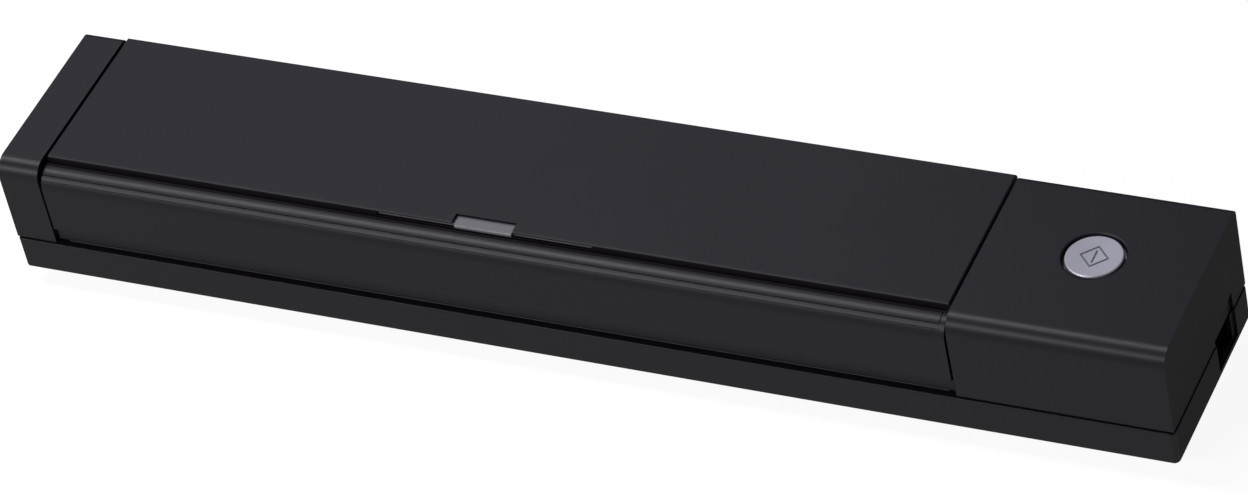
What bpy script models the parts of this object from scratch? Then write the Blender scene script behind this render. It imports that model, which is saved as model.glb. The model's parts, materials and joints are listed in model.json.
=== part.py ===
# Portable two-sided document scanner, closed, standing on its feet.
# Metres, +Z up. X runs along the body (+X is the start button end), -Y is the front.
# The origin is the middle of the footprint, at the level the feet stand on.
import bpy
import bmesh
from math import asin, atan2, cos, hypot, pi, radians, sin, sqrt
from mathutils import Vector


# Overall size
BODY_LENGTH = 0.3125
BODY_DEPTH = 0.0555
BODY_HEIGHT = 0.0400
KNUCKLE_OVERHANG = 0.0029

# Clearances and the one overrun used by every cut
FIT_GAP = 0.0003
SLIDE_GAP = 0.0002
PANEL_GAP = 0.0006
OVERRUN = 0.0020

# Lower casing
SEAM_HEIGHT = 0.0149
SEAM_GAP = 0.0005
RIM_HEIGHT = 0.0054
FOOT_RISE = 0.0014
UNDER_INSET = 0.0050
CASING_WALL = 0.0020
CASING_FLOOR = 0.0020
CORNER_RADIUS = 0.0015
SEAM_BEVEL = 0.0004
RIM_BEVEL = 0.0006

# Upper casing
UPPER_INSET = 0.0003
LEFT_BLOCK_WIDTH = 0.0113
RIGHT_BLOCK_WIDTH = 0.0546
FRONT_ROUND = 0.0048
REAR_ROUND = 0.0020
END_ROUND = 0.0010
BLOCK_WALL = 0.0018
ARC_STEPS = 7
CORNER_STEPS = 4
SEGMENTS = 24
SMALL_SEGMENTS = 14
SHARP_ANGLE = radians(35)
REAR_COVER_DROP = 0.0010

# Feed tray, its hinge and its pull-out extension
TRAY_THICKNESS = 0.00255
TRAY_SETBACK = 0.0060
TRAY_EDGE_BEVEL = 0.00035
TRAY_SKIN = 0.00065
TRAY_FLOOR = 0.00070
ARM_REACH = radians(34)
TRAY_AXIS_DROP = 0.0053
KNUCKLE_RADIUS = 0.0025
KNUCKLE_BORE = 0.00115
TRAY_KNUCKLE_LENGTH = 0.0140
FIXED_KNUCKLE_LENGTH = 0.0060
HINGE_INSET = 0.0240
HINGE_PIN_RADIUS = 0.0010
EXTENSION_WIDTH = 0.0580
EXTENSION_THICKNESS = 0.00080
EXTENSION_LENGTH = 0.0385
SLEEVE_END_GAP = 0.0010
TAB_WIDTH = 0.0155
TAB_DEPTH = 0.0034
TAB_RISE = 0.00020
TAB_PROUD = 0.00050
NOTCH_SIDE_GAP = 0.00070

# Front cover
COVER_WALL = 0.0016
STRIP_DROP = 0.0020
STRIP_SETBACK = 0.00545
COVER_LEDGE_DROP = 0.0011
COVER_FOOT_RADIUS = 0.0030
BAND_RECESS = 0.00115
BAND_HEIGHT = 0.0040
OUTLET_HEIGHT = 0.0010
BAND_BEVEL = 0.00035
COVER_AXIS_SETBACK = 0.0030
COVER_AXIS_RISE = 0.0022
COVER_SWING_GAP = 0.0006
COVER_EAR_RADIUS = 0.0015
COVER_EAR_LENGTH = 0.0030
BAND_WALL = 0.0012
COVER_PIN_RADIUS = 0.00080
COVER_PIN_BORE = 0.00095
COVER_PIN_LENGTH = 0.0044
NOSE_THICKNESS = 0.0009
NOSE_END_MARGIN = 0.0013
NOSE_GAP = 0.00015
NOSE_SEAM_ANGLE = radians(38)

# Paper path, seen from the side: a straight run from the inlet down to the outlet
PATH_TOP_SETBACK = 0.01975
PATH_TOP_DROP = 0.0075
PATH_AXIS_GAP = 0.00074
PATH_HALF_GAP = 0.0007
NIP_HALF_GAP = 0.00015
GUIDE_THICKNESS = 0.0010
RAMP_RISE = 0.0016

# Rollers and shafts
FEED_ROLLER_RADIUS = 0.0036
FEED_NIP = 0.0045
FEED_ROLLER_LENGTH = 0.0360
EJECT_ROLLER_RADIUS = 0.0030
EJECT_NIP_TO_AXIS = 0.00484
EJECT_ROLLER_LENGTH = 0.0200
EJECT_ROLLER_SPREAD = 0.0600
PINCH_ROLLER_RADIUS = 0.00215
PINCH_SHAFT_RADIUS = 0.00050
PINCH_BORE = 0.00065
FEED_SHAFT_RADIUS = 0.0015
EJECT_SHAFT_RADIUS = 0.0010
ROLLER_BORE_GAP = 0.0001
BUSH_RADIUS = 0.0024
BUSH_BORE_GAP = 0.00015
BUSH_FLANGE_RADIUS = 0.0030
BUSH_FLANGE = 0.0005
SIDE_PLATE = 0.0015
SIDE_PLATE_CURL = radians(60)

# Image sensors
SENSOR_AFTER_NIP = 0.0040
SENSOR_WIDTH = 0.0060
SENSOR_DEPTH = 0.0062
SENSOR_END_MARGIN = 0.0093
SENSOR_GLASS_WIDTH = 0.0046
SENSOR_GLASS = 0.0010
GLASS_SINK = 0.00005

# Separation pad
PAD_LENGTH = 0.0300
PAD_WIDTH = 0.0034
PAD_THICKNESS = 0.0016

# Gears: teeth per gear and one module
GEAR_MODULE = 0.0005
GEAR_WIDTH = 0.0030
FEED_TEETH = 28
EJECT_TEETH = 20
IDLER_TEETH = 20
PINION_TEETH = 12
WHEEL_TEETH = 36
GEAR_BACKLASH = 0.0001
TOOTH_ROOT_SHARE = 1.25
TOOTH_TIP_SHARE = 0.8
TOOTH_FOOT_SHARE = 0.70
TOOTH_CREST_SHARE = 0.28
STUD_RADIUS = 0.0010
BRACKET_THICKNESS = 0.0014
WHEEL_ANGLE = radians(-14)
MOTOR_ANGLE = radians(-8)
FEED_PHASE = 0.0
WHEEL_PHASE = 0.0
MOTOR_RADIUS = 0.0080
MOTOR_LENGTH = 0.0210

# Document guides
GUIDE_SIDE_MARGIN = 0.0123
NARROWEST_SHEET = 0.0660
GUIDE_FENCE_THICKNESS = 0.0020
GUIDE_FENCE_GAP = 0.0005
GUIDE_REAR_MARGIN = 0.0061
GUIDE_SETBACK = 0.0265
GUIDE_FOOT_WIDTH = 0.0080
GUIDE_FOOT_THICKNESS = 0.0008
GUIDE_TONGUE = 0.0020
RACK_MODULE = 0.0008
RACK_WIDTH = 0.0024
RACK_THICKNESS = 0.0018
RACK_DROP = 0.0004
RACK_END = 0.0040
RACK_PINION_TEETH = 12
RACK_PINION_INSET = 0.0154

# Start button
BUTTON_RADIUS = 0.0072
BUTTON_SETBACK = 0.0294
BUTTON_FROM_END = 0.0275
BUTTON_CAP = 0.0020
BUTTON_SINK = 0.0001
BUTTON_FLANGE = 0.0008
BUTTON_FLANGE_RIM = 0.0014
BUTTON_STEM_RADIUS = 0.0018
BUTTON_TRAVEL = 0.0006
BUTTON_ROUND = 0.0004
WELL_GAP = 0.00055
WELL_CHAMFER = 0.0005

# Boards, switches, port
BOARD_THICKNESS = 0.0014
BOARD_HEIGHT = 0.0080
PORT_WIDTH = 0.0104
PORT_FROM_REAR = 0.0161
PORT_BOTTOM = 0.0076
RECESS_DEPTH = 0.0006
RECESS_MARGIN = 0.0008
RECESS_REAR_MARGIN = 0.0020
RECESS_FRONT_TOP = 0.0170
RECESS_REAR_TOP = 0.0206
PORT_POCKET = 0.0046
CONNECTOR_WIDTH = 0.0080
CONNECTOR_LENGTH = 0.0056
CONNECTOR_HEIGHT = 0.0029
CONNECTOR_WALL = 0.0005
SWITCH_SIZE = 0.0060
SWITCH_HEIGHT = 0.0030
SLIDER_TRAVEL = 0.0040
SLIDER_WIDTH = 0.0040
SLIDER_HEIGHT = 0.0022
SLIDER_PROUD = 0.0006
SLIDER_FROM_END = 0.0183
SWITCH_BODY_HEIGHT = 0.0042
SWITCH_BODY_LENGTH = 0.0100
SLIDER_FLANGE = 0.0010

# Feet and screws
FOOT_LENGTH = 0.0140
FOOT_WIDTH = 0.0060
FOOT_RECESS = 0.0008
FOOT_FROM_END = 0.0215
FOOT_FROM_EDGE = 0.0092
SCREW_RADIUS = 0.0011
SCREW_HEAD_RADIUS = 0.0022
SCREW_HEAD = 0.0009
SCREW_LENGTH = 0.0090
SCREW_HOLE_GAP = 0.00015
SCREW_FROM_END = 0.0077
SCREW_FROM_EDGE = 0.0079
COUNTERBORE_DEPTH = 0.0011
BOSS_RADIUS = 0.0024
POST_RADIUS = 0.0020
BUTTON_POST_REACH = 0.0050
BOARD_EDGE = 0.0030

# Planes that the rest is built from
HALF_LENGTH = BODY_LENGTH / 2
FRONT_Y = -BODY_DEPTH / 2
REAR_LIMIT = BODY_DEPTH / 2
UPPER_FRONT = FRONT_Y + UPPER_INSET
UPPER_REAR = REAR_LIMIT - KNUCKLE_OVERHANG
BASE_REAR = UPPER_REAR + UPPER_INSET
UPPER_END = HALF_LENGTH - UPPER_INSET
UPPER_BOTTOM = SEAM_HEIGHT + SEAM_GAP
FLOOR_TOP = FOOT_RISE + CASING_FLOOR
LEFT_SEAM = -UPPER_END + LEFT_BLOCK_WIDTH
RIGHT_SEAM = UPPER_END - RIGHT_BLOCK_WIDTH
PANEL_LEFT = LEFT_SEAM + PANEL_GAP
PANEL_RIGHT = RIGHT_SEAM - PANEL_GAP
PANEL_CENTRE = (PANEL_LEFT + PANEL_RIGHT) / 2
TRAY_FRONT = UPPER_FRONT + TRAY_SETBACK
TRAY_BOTTOM = BODY_HEIGHT - TRAY_THICKNESS
TRAY_AXIS = (REAR_LIMIT - KNUCKLE_RADIUS, BODY_HEIGHT - TRAY_AXIS_DROP)
COVER_AXIS = (FRONT_Y + COVER_AXIS_SETBACK, SEAM_HEIGHT + COVER_AXIS_RISE)
STRIP_TOP = BODY_HEIGHT - STRIP_DROP
COVER_SWING_RADIUS = STRIP_TOP - COVER_AXIS[1] - COVER_SWING_GAP
STRIP_REAR = UPPER_FRONT + STRIP_SETBACK
BAND_FRONT = UPPER_FRONT + BAND_RECESS
BAND_BOTTOM = SEAM_HEIGHT + OUTLET_HEIGHT
BAND_TOP = BAND_BOTTOM + BAND_HEIGHT
PLATE_LEFT = PANEL_LEFT + FIT_GAP
PLATE_RIGHT = PANEL_RIGHT - FIT_GAP
GUIDE_LEFT = PLATE_LEFT + SIDE_PLATE + FIT_GAP
GUIDE_RIGHT = PLATE_RIGHT - SIDE_PLATE - FIT_GAP
SENSOR_LENGTH = GUIDE_RIGHT - GUIDE_LEFT - 2 * SENSOR_END_MARGIN
SENSOR_START = FEED_NIP + SENSOR_AFTER_NIP
GUIDE_SPAN = GUIDE_RIGHT - GUIDE_LEFT - 2 * GUIDE_SIDE_MARGIN
GUIDE_TRAVEL = (GUIDE_SPAN - NARROWEST_SHEET) / 2
GUIDE_FRONT = FRONT_Y + GUIDE_SETBACK
GUIDE_BACK = UPPER_REAR - GUIDE_REAR_MARGIN
PATH_TOP = (FRONT_Y + PATH_TOP_SETBACK, BODY_HEIGHT - PATH_TOP_DROP)
AXIS_DISTANCE = hypot(PATH_TOP[0] - COVER_AXIS[0], PATH_TOP[1] - COVER_AXIS[1])
PATH_SLOPE = (atan2(PATH_TOP[1] - COVER_AXIS[1], PATH_TOP[0] - COVER_AXIS[0])
              - asin(PATH_AXIS_GAP / AXIS_DISTANCE))
EJECT_NIP = sqrt(AXIS_DISTANCE ** 2 - PATH_AXIS_GAP ** 2) - EJECT_NIP_TO_AXIS


# The paper path's own frame: along runs down to the outlet, off points to the front cover
def path_point(along, off):
    y = PATH_TOP[0] - along * cos(PATH_SLOPE) - off * sin(PATH_SLOPE)
    z = PATH_TOP[1] - along * sin(PATH_SLOPE) + off * cos(PATH_SLOPE)
    return (y, z)


FEED_AXIS = path_point(FEED_NIP, -NIP_HALF_GAP - FEED_ROLLER_RADIUS)
EJECT_AXIS = path_point(EJECT_NIP, -NIP_HALF_GAP - EJECT_ROLLER_RADIUS)
PINCH_AXIS = path_point(EJECT_NIP, NIP_HALF_GAP + PINCH_ROLLER_RADIUS)
RAMP_FRONT = path_point(0, -PATH_HALF_GAP)
RAMP_REAR = (UPPER_REAR - BLOCK_WALL - 2 * FIT_GAP, RAMP_FRONT[1] + RAMP_RISE)


def ramp_height(y):
    share = (y - RAMP_FRONT[0]) / (RAMP_REAR[0] - RAMP_FRONT[0])
    return RAMP_FRONT[1] + share * RAMP_RISE


# Scene and materials
def clear_scene():
    for item in list(bpy.data.objects):
        bpy.data.objects.remove(item, do_unlink=True)


MATERIALS = {}


def material(name, colour, roughness, metallic=0.0):
    if name not in MATERIALS:
        made = bpy.data.materials.new(name)
        made.use_nodes = True
        shader = made.node_tree.nodes["Principled BSDF"]
        shader.inputs["Base Color"].default_value = (*colour, 1.0)
        shader.inputs["Roughness"].default_value = roughness
        shader.inputs["Metallic"].default_value = metallic
        MATERIALS[name] = made
    return MATERIALS[name]


def black_plastic():
    return material("black_plastic", (0.018, 0.017, 0.020), 0.42)


def inner_plastic():
    return material("inner_plastic", (0.030, 0.030, 0.032), 0.55)


def grey_plastic():
    return material("grey_plastic", (0.16, 0.155, 0.165), 0.5)


def gear_plastic():
    return material("gear_plastic", (0.72, 0.70, 0.64), 0.45)


def rubber():
    return material("rubber", (0.045, 0.045, 0.047), 0.8)


def steel():
    return material("steel", (0.60, 0.60, 0.61), 0.3, 1.0)


def button_silver():
    return material("button_silver", (0.42, 0.41, 0.46), 0.35, 0.6)


def board_green():
    return material("board_green", (0.02, 0.12, 0.05), 0.5)


def sensor_glass():
    return material("sensor_glass", (0.03, 0.04, 0.04), 0.05)


# Mesh helpers. Every shape is drawn in the part's own frame.
def add_loft(bm, rings, closed=False):
    made = [[bm.verts.new(point) for point in ring] for ring in rings]
    pairs = list(zip(made, made[1:]))
    if closed:
        pairs.append((made[-1], made[0]))
    for lower, upper in pairs:
        count = len(lower)
        for i in range(count):
            j = (i + 1) % count
            bm.faces.new((lower[i], lower[j], upper[j], upper[i]))
    if not closed:
        bm.faces.new(list(reversed(made[0])))
        bm.faces.new(made[-1])


def add_prism(bm, outline, start, end):
    add_loft(bm, [[(x, y, z) for y, z in outline] for x in (start, end)])


def add_plate(bm, outline, bottom, top):
    add_loft(bm, [[(x, y, z) for x, y in outline] for z in (bottom, top)])


def add_box(bm, low, high):
    outline = [(low[1], low[2]), (high[1], low[2]), (high[1], high[2]), (low[1], high[2])]
    add_prism(bm, outline, low[0], high[0])


def circle(centre, radius, count, phase=0.0):
    angles = [phase + 2 * pi * i / count for i in range(count)]
    return [(centre[0] + radius * cos(a), centre[1] + radius * sin(a)) for a in angles]


def add_turned_x(bm, centre, stations, count=SEGMENTS, closed=False):
    rings = []
    for x, radius in stations:
        rings.append([(x, y, z) for y, z in circle(centre, radius, count)])
    add_loft(bm, rings, closed)


def add_turned_z(bm, centre, stations, count=SEGMENTS, closed=False):
    rings = []
    for z, radius in stations:
        rings.append([(x, y, z) for x, y in circle(centre, radius, count)])
    add_loft(bm, rings, closed)


def add_tube_x(bm, centre, outer, inner, start, end, count=SEGMENTS):
    stations = [(start, outer), (end, outer), (end, inner), (start, inner)]
    add_turned_x(bm, centre, stations, count, closed=True)


def arc(centre, radius, start, end, steps=ARC_STEPS):
    angles = [start + (end - start) * i / steps for i in range(steps + 1)]
    return [(centre[0] + radius * cos(a), centre[1] + radius * sin(a)) for a in angles]


def build(name, bm, finish, carrier=None, smooth=False):
    origin = carrier.location.copy() if carrier else Vector((0, 0, 0))
    bmesh.ops.translate(bm, verts=bm.verts, vec=-origin)
    bmesh.ops.recalc_face_normals(bm, faces=bm.faces)
    mesh = bpy.data.meshes.new(name)
    bm.to_mesh(mesh)
    bm.free()
    mesh.materials.append(finish)
    if smooth:
        mesh.shade_smooth()
        mesh.set_sharp_from_angle(angle=SHARP_ANGLE)
    made = bpy.data.objects.new(name, mesh)
    bpy.context.collection.objects.link(made)
    if carrier:
        made.parent = carrier
    return made


def reshape(target, name, bm, operation):
    tool = build(name, bm, inner_plastic())
    tool.display_type = "WIRE"
    tool.hide_render = True
    change = target.modifiers.new(name, "BOOLEAN")
    change.operation = operation
    change.solver = "EXACT"
    change.object = tool


def cut(target, bm):
    reshape(target, target.name + "_cutter" + str(len(target.modifiers)), bm, "DIFFERENCE")


def fuse(target, bm):
    reshape(target, target.name + "_addition" + str(len(target.modifiers)), bm, "UNION")


def axis_empty(name, place):
    made = bpy.data.objects.new(name, None)
    made.empty_display_size = FRONT_ROUND
    made.location = place
    bpy.context.collection.objects.link(made)
    return made


# Gear outlines: plain trapezoid teeth with backlash, turned so that each pair meshes
def gear_outline(centre, teeth, phase, module=GEAR_MODULE):
    pitch_radius = module * teeth / 2
    half_pitch = pi / teeth
    slack = GEAR_BACKLASH / pitch_radius / 4
    root = pitch_radius - TOOTH_ROOT_SHARE * module
    tip = pitch_radius + TOOTH_TIP_SHARE * module
    outline = []
    for i in range(teeth):
        middle = phase + 2 * pi * i / teeth
        wide = half_pitch * TOOTH_FOOT_SHARE - slack
        narrow = half_pitch * TOOTH_CREST_SHARE - slack
        for radius, turn in ((root, -wide), (tip, -narrow), (tip, narrow), (root, wide)):
            angle = middle + turn
            outline.append((centre[0] + radius * cos(angle), centre[1] + radius * sin(angle)))
    return outline


def meshing_phase(phase, teeth, other_teeth, angle):
    turn_share = ((angle - phase) * teeth / (2 * pi)) % 1
    return angle + pi + (turn_share + 1 / 2) * 2 * pi / other_teeth


def bearing(start, end):
    return atan2(end[1] - start[1], end[0] - start[0])


def gear_distance(teeth, other_teeth):
    return GEAR_MODULE * (teeth + other_teeth) / 2


def step(start, angle, distance):
    return (start[0] + distance * cos(angle), start[1] + distance * sin(angle))


# Places shared by several pieces
BAND_REACH = hypot(COVER_AXIS[0] - BAND_FRONT, COVER_AXIS[1] - BAND_BOTTOM)
OUTLET_RADIUS = BAND_REACH + FIT_GAP
COVER_BACK_RADIUS = COVER_SWING_RADIUS - SLIDE_GAP
GEAR_START = RIGHT_SEAM + BLOCK_WALL + 2 * FIT_GAP
GEAR_END = GEAR_START + GEAR_WIDTH
WHEEL_START = GEAR_END + 2 * FIT_GAP
WHEEL_END = WHEEL_START + GEAR_WIDTH
BRACKET_START = WHEEL_END + 2 * FIT_GAP
BRACKET_END = BRACKET_START + BRACKET_THICKNESS
BOARD_START = BRACKET_END + 2 * FIT_GAP
BUTTON_PLACE = (HALF_LENGTH - BUTTON_FROM_END, FRONT_Y + BUTTON_SETBACK)
BUTTON_TOP = BODY_HEIGHT - BUTTON_SINK
WELL_RADIUS = BUTTON_RADIUS + WELL_GAP
ROOF_BOTTOM = BODY_HEIGHT - BLOCK_WALL
FLANGE_TOP = ROOF_BOTTOM - FIT_GAP
FLANGE_RADIUS = WELL_RADIUS + BUTTON_FLANGE_RIM
STEM_BOTTOM = FLANGE_TOP - 2 * BUTTON_FLANGE
SWITCH_TOP = STEM_BOTTOM - BUTTON_TRAVEL - FIT_GAP
BUTTON_BOARD_TOP = SWITCH_TOP - SWITCH_HEIGHT - FIT_GAP
PORT_CENTRE = UPPER_REAR - PORT_FROM_REAR
PORT_FRONT = PORT_CENTRE - PORT_WIDTH / 2
PORT_REAR = PORT_CENTRE + PORT_WIDTH / 2
SLIDER_CENTRE = HALF_LENGTH - SLIDER_FROM_END
SLIDER_HEIGHT_LEVEL = BOARD_HEIGHT + BOARD_THICKNESS + FIT_GAP + SWITCH_BODY_HEIGHT / 2
PINION_CENTRE = (PANEL_CENTRE, UPPER_REAR - RACK_PINION_INSET)
PINION_PITCH = RACK_MODULE * RACK_PINION_TEETH / 2
RACK_TIP = PINION_PITCH - TOOTH_TIP_SHARE * RACK_MODULE
RACK_ROOT = PINION_PITCH + TOOTH_ROOT_SHARE * RACK_MODULE
RACK_BACK = RACK_ROOT + RACK_WIDTH
RACK_TOP = ramp_height(PINION_CENTRE[1] - RACK_BACK) - GUIDE_THICKNESS - RACK_DROP
RACK_BOTTOM = RACK_TOP - RACK_THICKNESS
SCREW_PLACES = [
    (side * (HALF_LENGTH - SCREW_FROM_END), y)
    for side in (-1, 1)
    for y in (FRONT_Y + SCREW_FROM_EDGE, BASE_REAR - SCREW_FROM_EDGE)
]
FOOT_PLACES = [
    (side * (HALF_LENGTH - FOOT_FROM_END), y)
    for side in (-1, 1)
    for y in (FRONT_Y + FOOT_FROM_EDGE, BASE_REAR - FOOT_FROM_EDGE)
]
TRAY_KNUCKLE_STARTS = (
    PANEL_LEFT + HINGE_INSET - TRAY_KNUCKLE_LENGTH / 2,
    PANEL_RIGHT - HINGE_INSET - TRAY_KNUCKLE_LENGTH / 2,
)
SHAFTS = (("feed", FEED_AXIS, FEED_SHAFT_RADIUS), ("eject", EJECT_AXIS, EJECT_SHAFT_RADIUS))
PLATE_STARTS = (PLATE_LEFT, PLATE_RIGHT - SIDE_PLATE)

# Gear train, seen from the right end: where each wheel sits and how far its teeth are turned
WHEEL_AXIS = step(FEED_AXIS, WHEEL_ANGLE, gear_distance(FEED_TEETH, PINION_TEETH))
MOTOR_AXIS = step(WHEEL_AXIS, MOTOR_ANGLE, gear_distance(WHEEL_TEETH, PINION_TEETH))


def idler_place():
    span = hypot(EJECT_AXIS[0] - FEED_AXIS[0], EJECT_AXIS[1] - FEED_AXIS[1])
    to_feed = gear_distance(FEED_TEETH, IDLER_TEETH)
    to_eject = gear_distance(EJECT_TEETH, IDLER_TEETH)
    along = (to_feed ** 2 - to_eject ** 2 + span ** 2) / (2 * span)
    aside = sqrt(max(to_feed ** 2 - along ** 2, 0))
    return step(step(FEED_AXIS, bearing(FEED_AXIS, EJECT_AXIS), along),
                bearing(FEED_AXIS, EJECT_AXIS) + pi / 2, aside)


IDLER_AXIS = idler_place()
IDLER_PHASE = meshing_phase(FEED_PHASE, FEED_TEETH, IDLER_TEETH, bearing(FEED_AXIS, IDLER_AXIS))
EJECT_PHASE = meshing_phase(IDLER_PHASE, IDLER_TEETH, EJECT_TEETH, bearing(IDLER_AXIS, EJECT_AXIS))
SMALL_PHASE = meshing_phase(FEED_PHASE, FEED_TEETH, PINION_TEETH, WHEEL_ANGLE)
MOTOR_PHASE = meshing_phase(WHEEL_PHASE, WHEEL_TEETH, PINION_TEETH, MOTOR_ANGLE)


# Where a line of the paper path, so far off it, comes as near as a radius to the cover's axis
def along_at_radius(off, radius, upstream=True):
    start = path_point(0, off)
    to_start = (start[0] - COVER_AXIS[0], start[1] - COVER_AXIS[1])
    toward = -to_start[0] * cos(PATH_SLOPE) - to_start[1] * sin(PATH_SLOPE)
    reach = sqrt(max(toward ** 2 - to_start[0] ** 2 - to_start[1] ** 2 + radius ** 2, 0))
    return -toward - reach if upstream else -toward + reach


# Lower casing
def casing_outline(inset):
    right = HALF_LENGTH - inset - CORNER_RADIUS
    front = FRONT_Y + inset + CORNER_RADIUS
    rear = BASE_REAR - inset - CORNER_RADIUS
    outline = []
    corners = ((right, front, -pi / 2), (right, rear, 0), (-right, rear, pi / 2), (-right, front, pi))
    for x, y, start in corners:
        outline += arc((x, y), CORNER_RADIUS, start, start + pi / 2, CORNER_STEPS)
    return outline


def base_casing():
    bm = bmesh.new()
    levels = (
        (FOOT_RISE, UNDER_INSET),
        (RIM_HEIGHT - RIM_BEVEL / 2, RIM_BEVEL / 2),
        (RIM_HEIGHT + RIM_BEVEL / 2, 0),
        (SEAM_HEIGHT - SEAM_BEVEL, 0),
        (SEAM_HEIGHT, SEAM_BEVEL),
        (SEAM_HEIGHT, CASING_WALL),
        (RIM_HEIGHT + CASING_FLOOR / 2, CASING_WALL),
        (FLOOR_TOP, UNDER_INSET),
    )
    add_loft(bm, [[(x, y, z) for x, y in casing_outline(inset)] for z, inset in levels])
    base = build("base_casing", bm, black_plastic(), smooth=True)

    posts = bmesh.new()
    for x, y in board_post_places():
        add_turned_z(posts, (x, y), [(FLOOR_TOP - FIT_GAP, POST_RADIUS),
                                     (BOARD_HEIGHT - FIT_GAP, POST_RADIUS)], SMALL_SEGMENTS)
    fuse(base, posts)

    holes = bmesh.new()
    for x, y in SCREW_PLACES:
        head = SCREW_HEAD_RADIUS + SCREW_HOLE_GAP
        shank = SCREW_RADIUS + SCREW_HOLE_GAP
        add_turned_z(holes, (x, y), [
            (FOOT_RISE - OVERRUN, head),
            (FOOT_RISE + COUNTERBORE_DEPTH, head),
            (FOOT_RISE + COUNTERBORE_DEPTH, shank),
            (FLOOR_TOP + OVERRUN, shank),
        ], SMALL_SEGMENTS)
    for x, y in FOOT_PLACES:
        half = (FOOT_LENGTH / 2 + FIT_GAP, FOOT_WIDTH / 2 + FIT_GAP)
        add_box(holes, (x - half[0], y - half[1], FOOT_RISE - OVERRUN),
                (x + half[0], y + half[1], FOOT_RISE + FOOT_RECESS))
    slot_half = (SLIDER_WIDTH + SLIDER_TRAVEL) / 2 + FIT_GAP
    slider_half = SLIDER_HEIGHT / 2 + FIT_GAP
    add_box(holes, (SLIDER_CENTRE - slot_half, BASE_REAR - CASING_WALL - OVERRUN,
                    SLIDER_HEIGHT_LEVEL - slider_half),
            (SLIDER_CENTRE + slot_half, BASE_REAR + OVERRUN, SLIDER_HEIGHT_LEVEL + slider_half))
    add_box(holes, (HALF_LENGTH - CASING_WALL - OVERRUN, PORT_FRONT, PORT_BOTTOM),
            (HALF_LENGTH + OVERRUN, PORT_REAR, SEAM_HEIGHT + OVERRUN))
    cut(base, holes)
    cut(base, port_recess(HALF_LENGTH))


def port_recess(outer):
    bm = bmesh.new()
    front = PORT_FRONT - RECESS_MARGIN
    rear = PORT_REAR + RECESS_REAR_MARGIN
    bottom = PORT_BOTTOM - RECESS_MARGIN
    outline = [(front, bottom), (rear, bottom), (rear, RECESS_REAR_TOP),
               (front + RECESS_REAR_MARGIN, RECESS_REAR_TOP - RECESS_MARGIN), (front, RECESS_FRONT_TOP)]
    add_prism(bm, outline, outer - RECESS_DEPTH, outer + OVERRUN)
    return bm


# Left and right blocks of the upper casing, open below, and what hangs inside them
def block_profile(inset, bottom):
    front = UPPER_FRONT + inset
    rear = UPPER_REAR - inset
    top = BODY_HEIGHT - inset
    front_round = FRONT_ROUND - inset
    rear_round = max(REAR_ROUND - inset, FIT_GAP)
    outline = [(front, bottom), (rear, bottom)]
    outline += arc((rear - rear_round, top - rear_round), rear_round, 0, pi / 2, CORNER_STEPS)
    outline += arc((front + front_round, top - front_round), front_round, pi / 2, pi)
    return outline


def end_block(name, seam, end):
    toward = 1 if end > seam else -1
    bm = bmesh.new()
    rings = [[(seam, y, z) for y, z in block_profile(0, UPPER_BOTTOM)]]
    for i in range(CORNER_STEPS + 1):
        turn = pi / 2 * i / CORNER_STEPS
        x = end - toward * END_ROUND * (1 - sin(turn))
        rings.append([(x, y, z) for y, z in block_profile(END_ROUND * (1 - cos(turn)), UPPER_BOTTOM)])
    add_loft(bm, rings)
    block = build(name, bm, black_plastic(), smooth=True)

    hollow = bmesh.new()
    add_prism(hollow, block_profile(BLOCK_WALL, UPPER_BOTTOM - OVERRUN),
              seam + toward * BLOCK_WALL, end - toward * BLOCK_WALL)
    cut(block, hollow)

    bosses = bmesh.new()
    for x, y in SCREW_PLACES:
        if x * toward > 0:
            add_turned_z(bosses, (x, y), [(FLOOR_TOP + FIT_GAP, BOSS_RADIUS),
                                          (ROOF_BOTTOM + FIT_GAP, BOSS_RADIUS)], SMALL_SEGMENTS)
    if toward > 0:
        for x, y in button_post_places():
            add_turned_z(bosses, (x, y), [(BUTTON_BOARD_TOP + FIT_GAP, POST_RADIUS),
                                          (ROOF_BOTTOM + FIT_GAP, POST_RADIUS)], SMALL_SEGMENTS)
    fuse(block, bosses)

    holes = bmesh.new()
    pilot = (FOOT_RISE, FOOT_RISE + COUNTERBORE_DEPTH + SCREW_LENGTH + OVERRUN)
    for x, y in SCREW_PLACES:
        if x * toward > 0:
            add_turned_z(holes, (x, y), [(z, SCREW_RADIUS + SCREW_HOLE_GAP) for z in pilot], SMALL_SEGMENTS)
    sides = (seam - toward * OVERRUN, seam + toward * (BLOCK_WALL + OVERRUN))
    pin_hole = COVER_PIN_BORE
    add_turned_x(holes, COVER_AXIS, [(x, pin_hole) for x in sides], SMALL_SEGMENTS)
    if toward > 0:
        for _, axis, radius in SHAFTS:
            add_turned_x(holes, axis, [(x, radius + FIT_GAP) for x in sides], SMALL_SEGMENTS)
        add_turned_z(holes, BUTTON_PLACE, [
            (ROOF_BOTTOM - OVERRUN, WELL_RADIUS),
            (BODY_HEIGHT - WELL_CHAMFER, WELL_RADIUS),
            (BODY_HEIGHT, WELL_RADIUS + WELL_CHAMFER),
            (BODY_HEIGHT + OVERRUN, WELL_RADIUS + WELL_CHAMFER),
        ], 2 * SEGMENTS)
    cut(block, holes)
    if toward > 0:
        cut(block, port_recess(UPPER_END))


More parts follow.
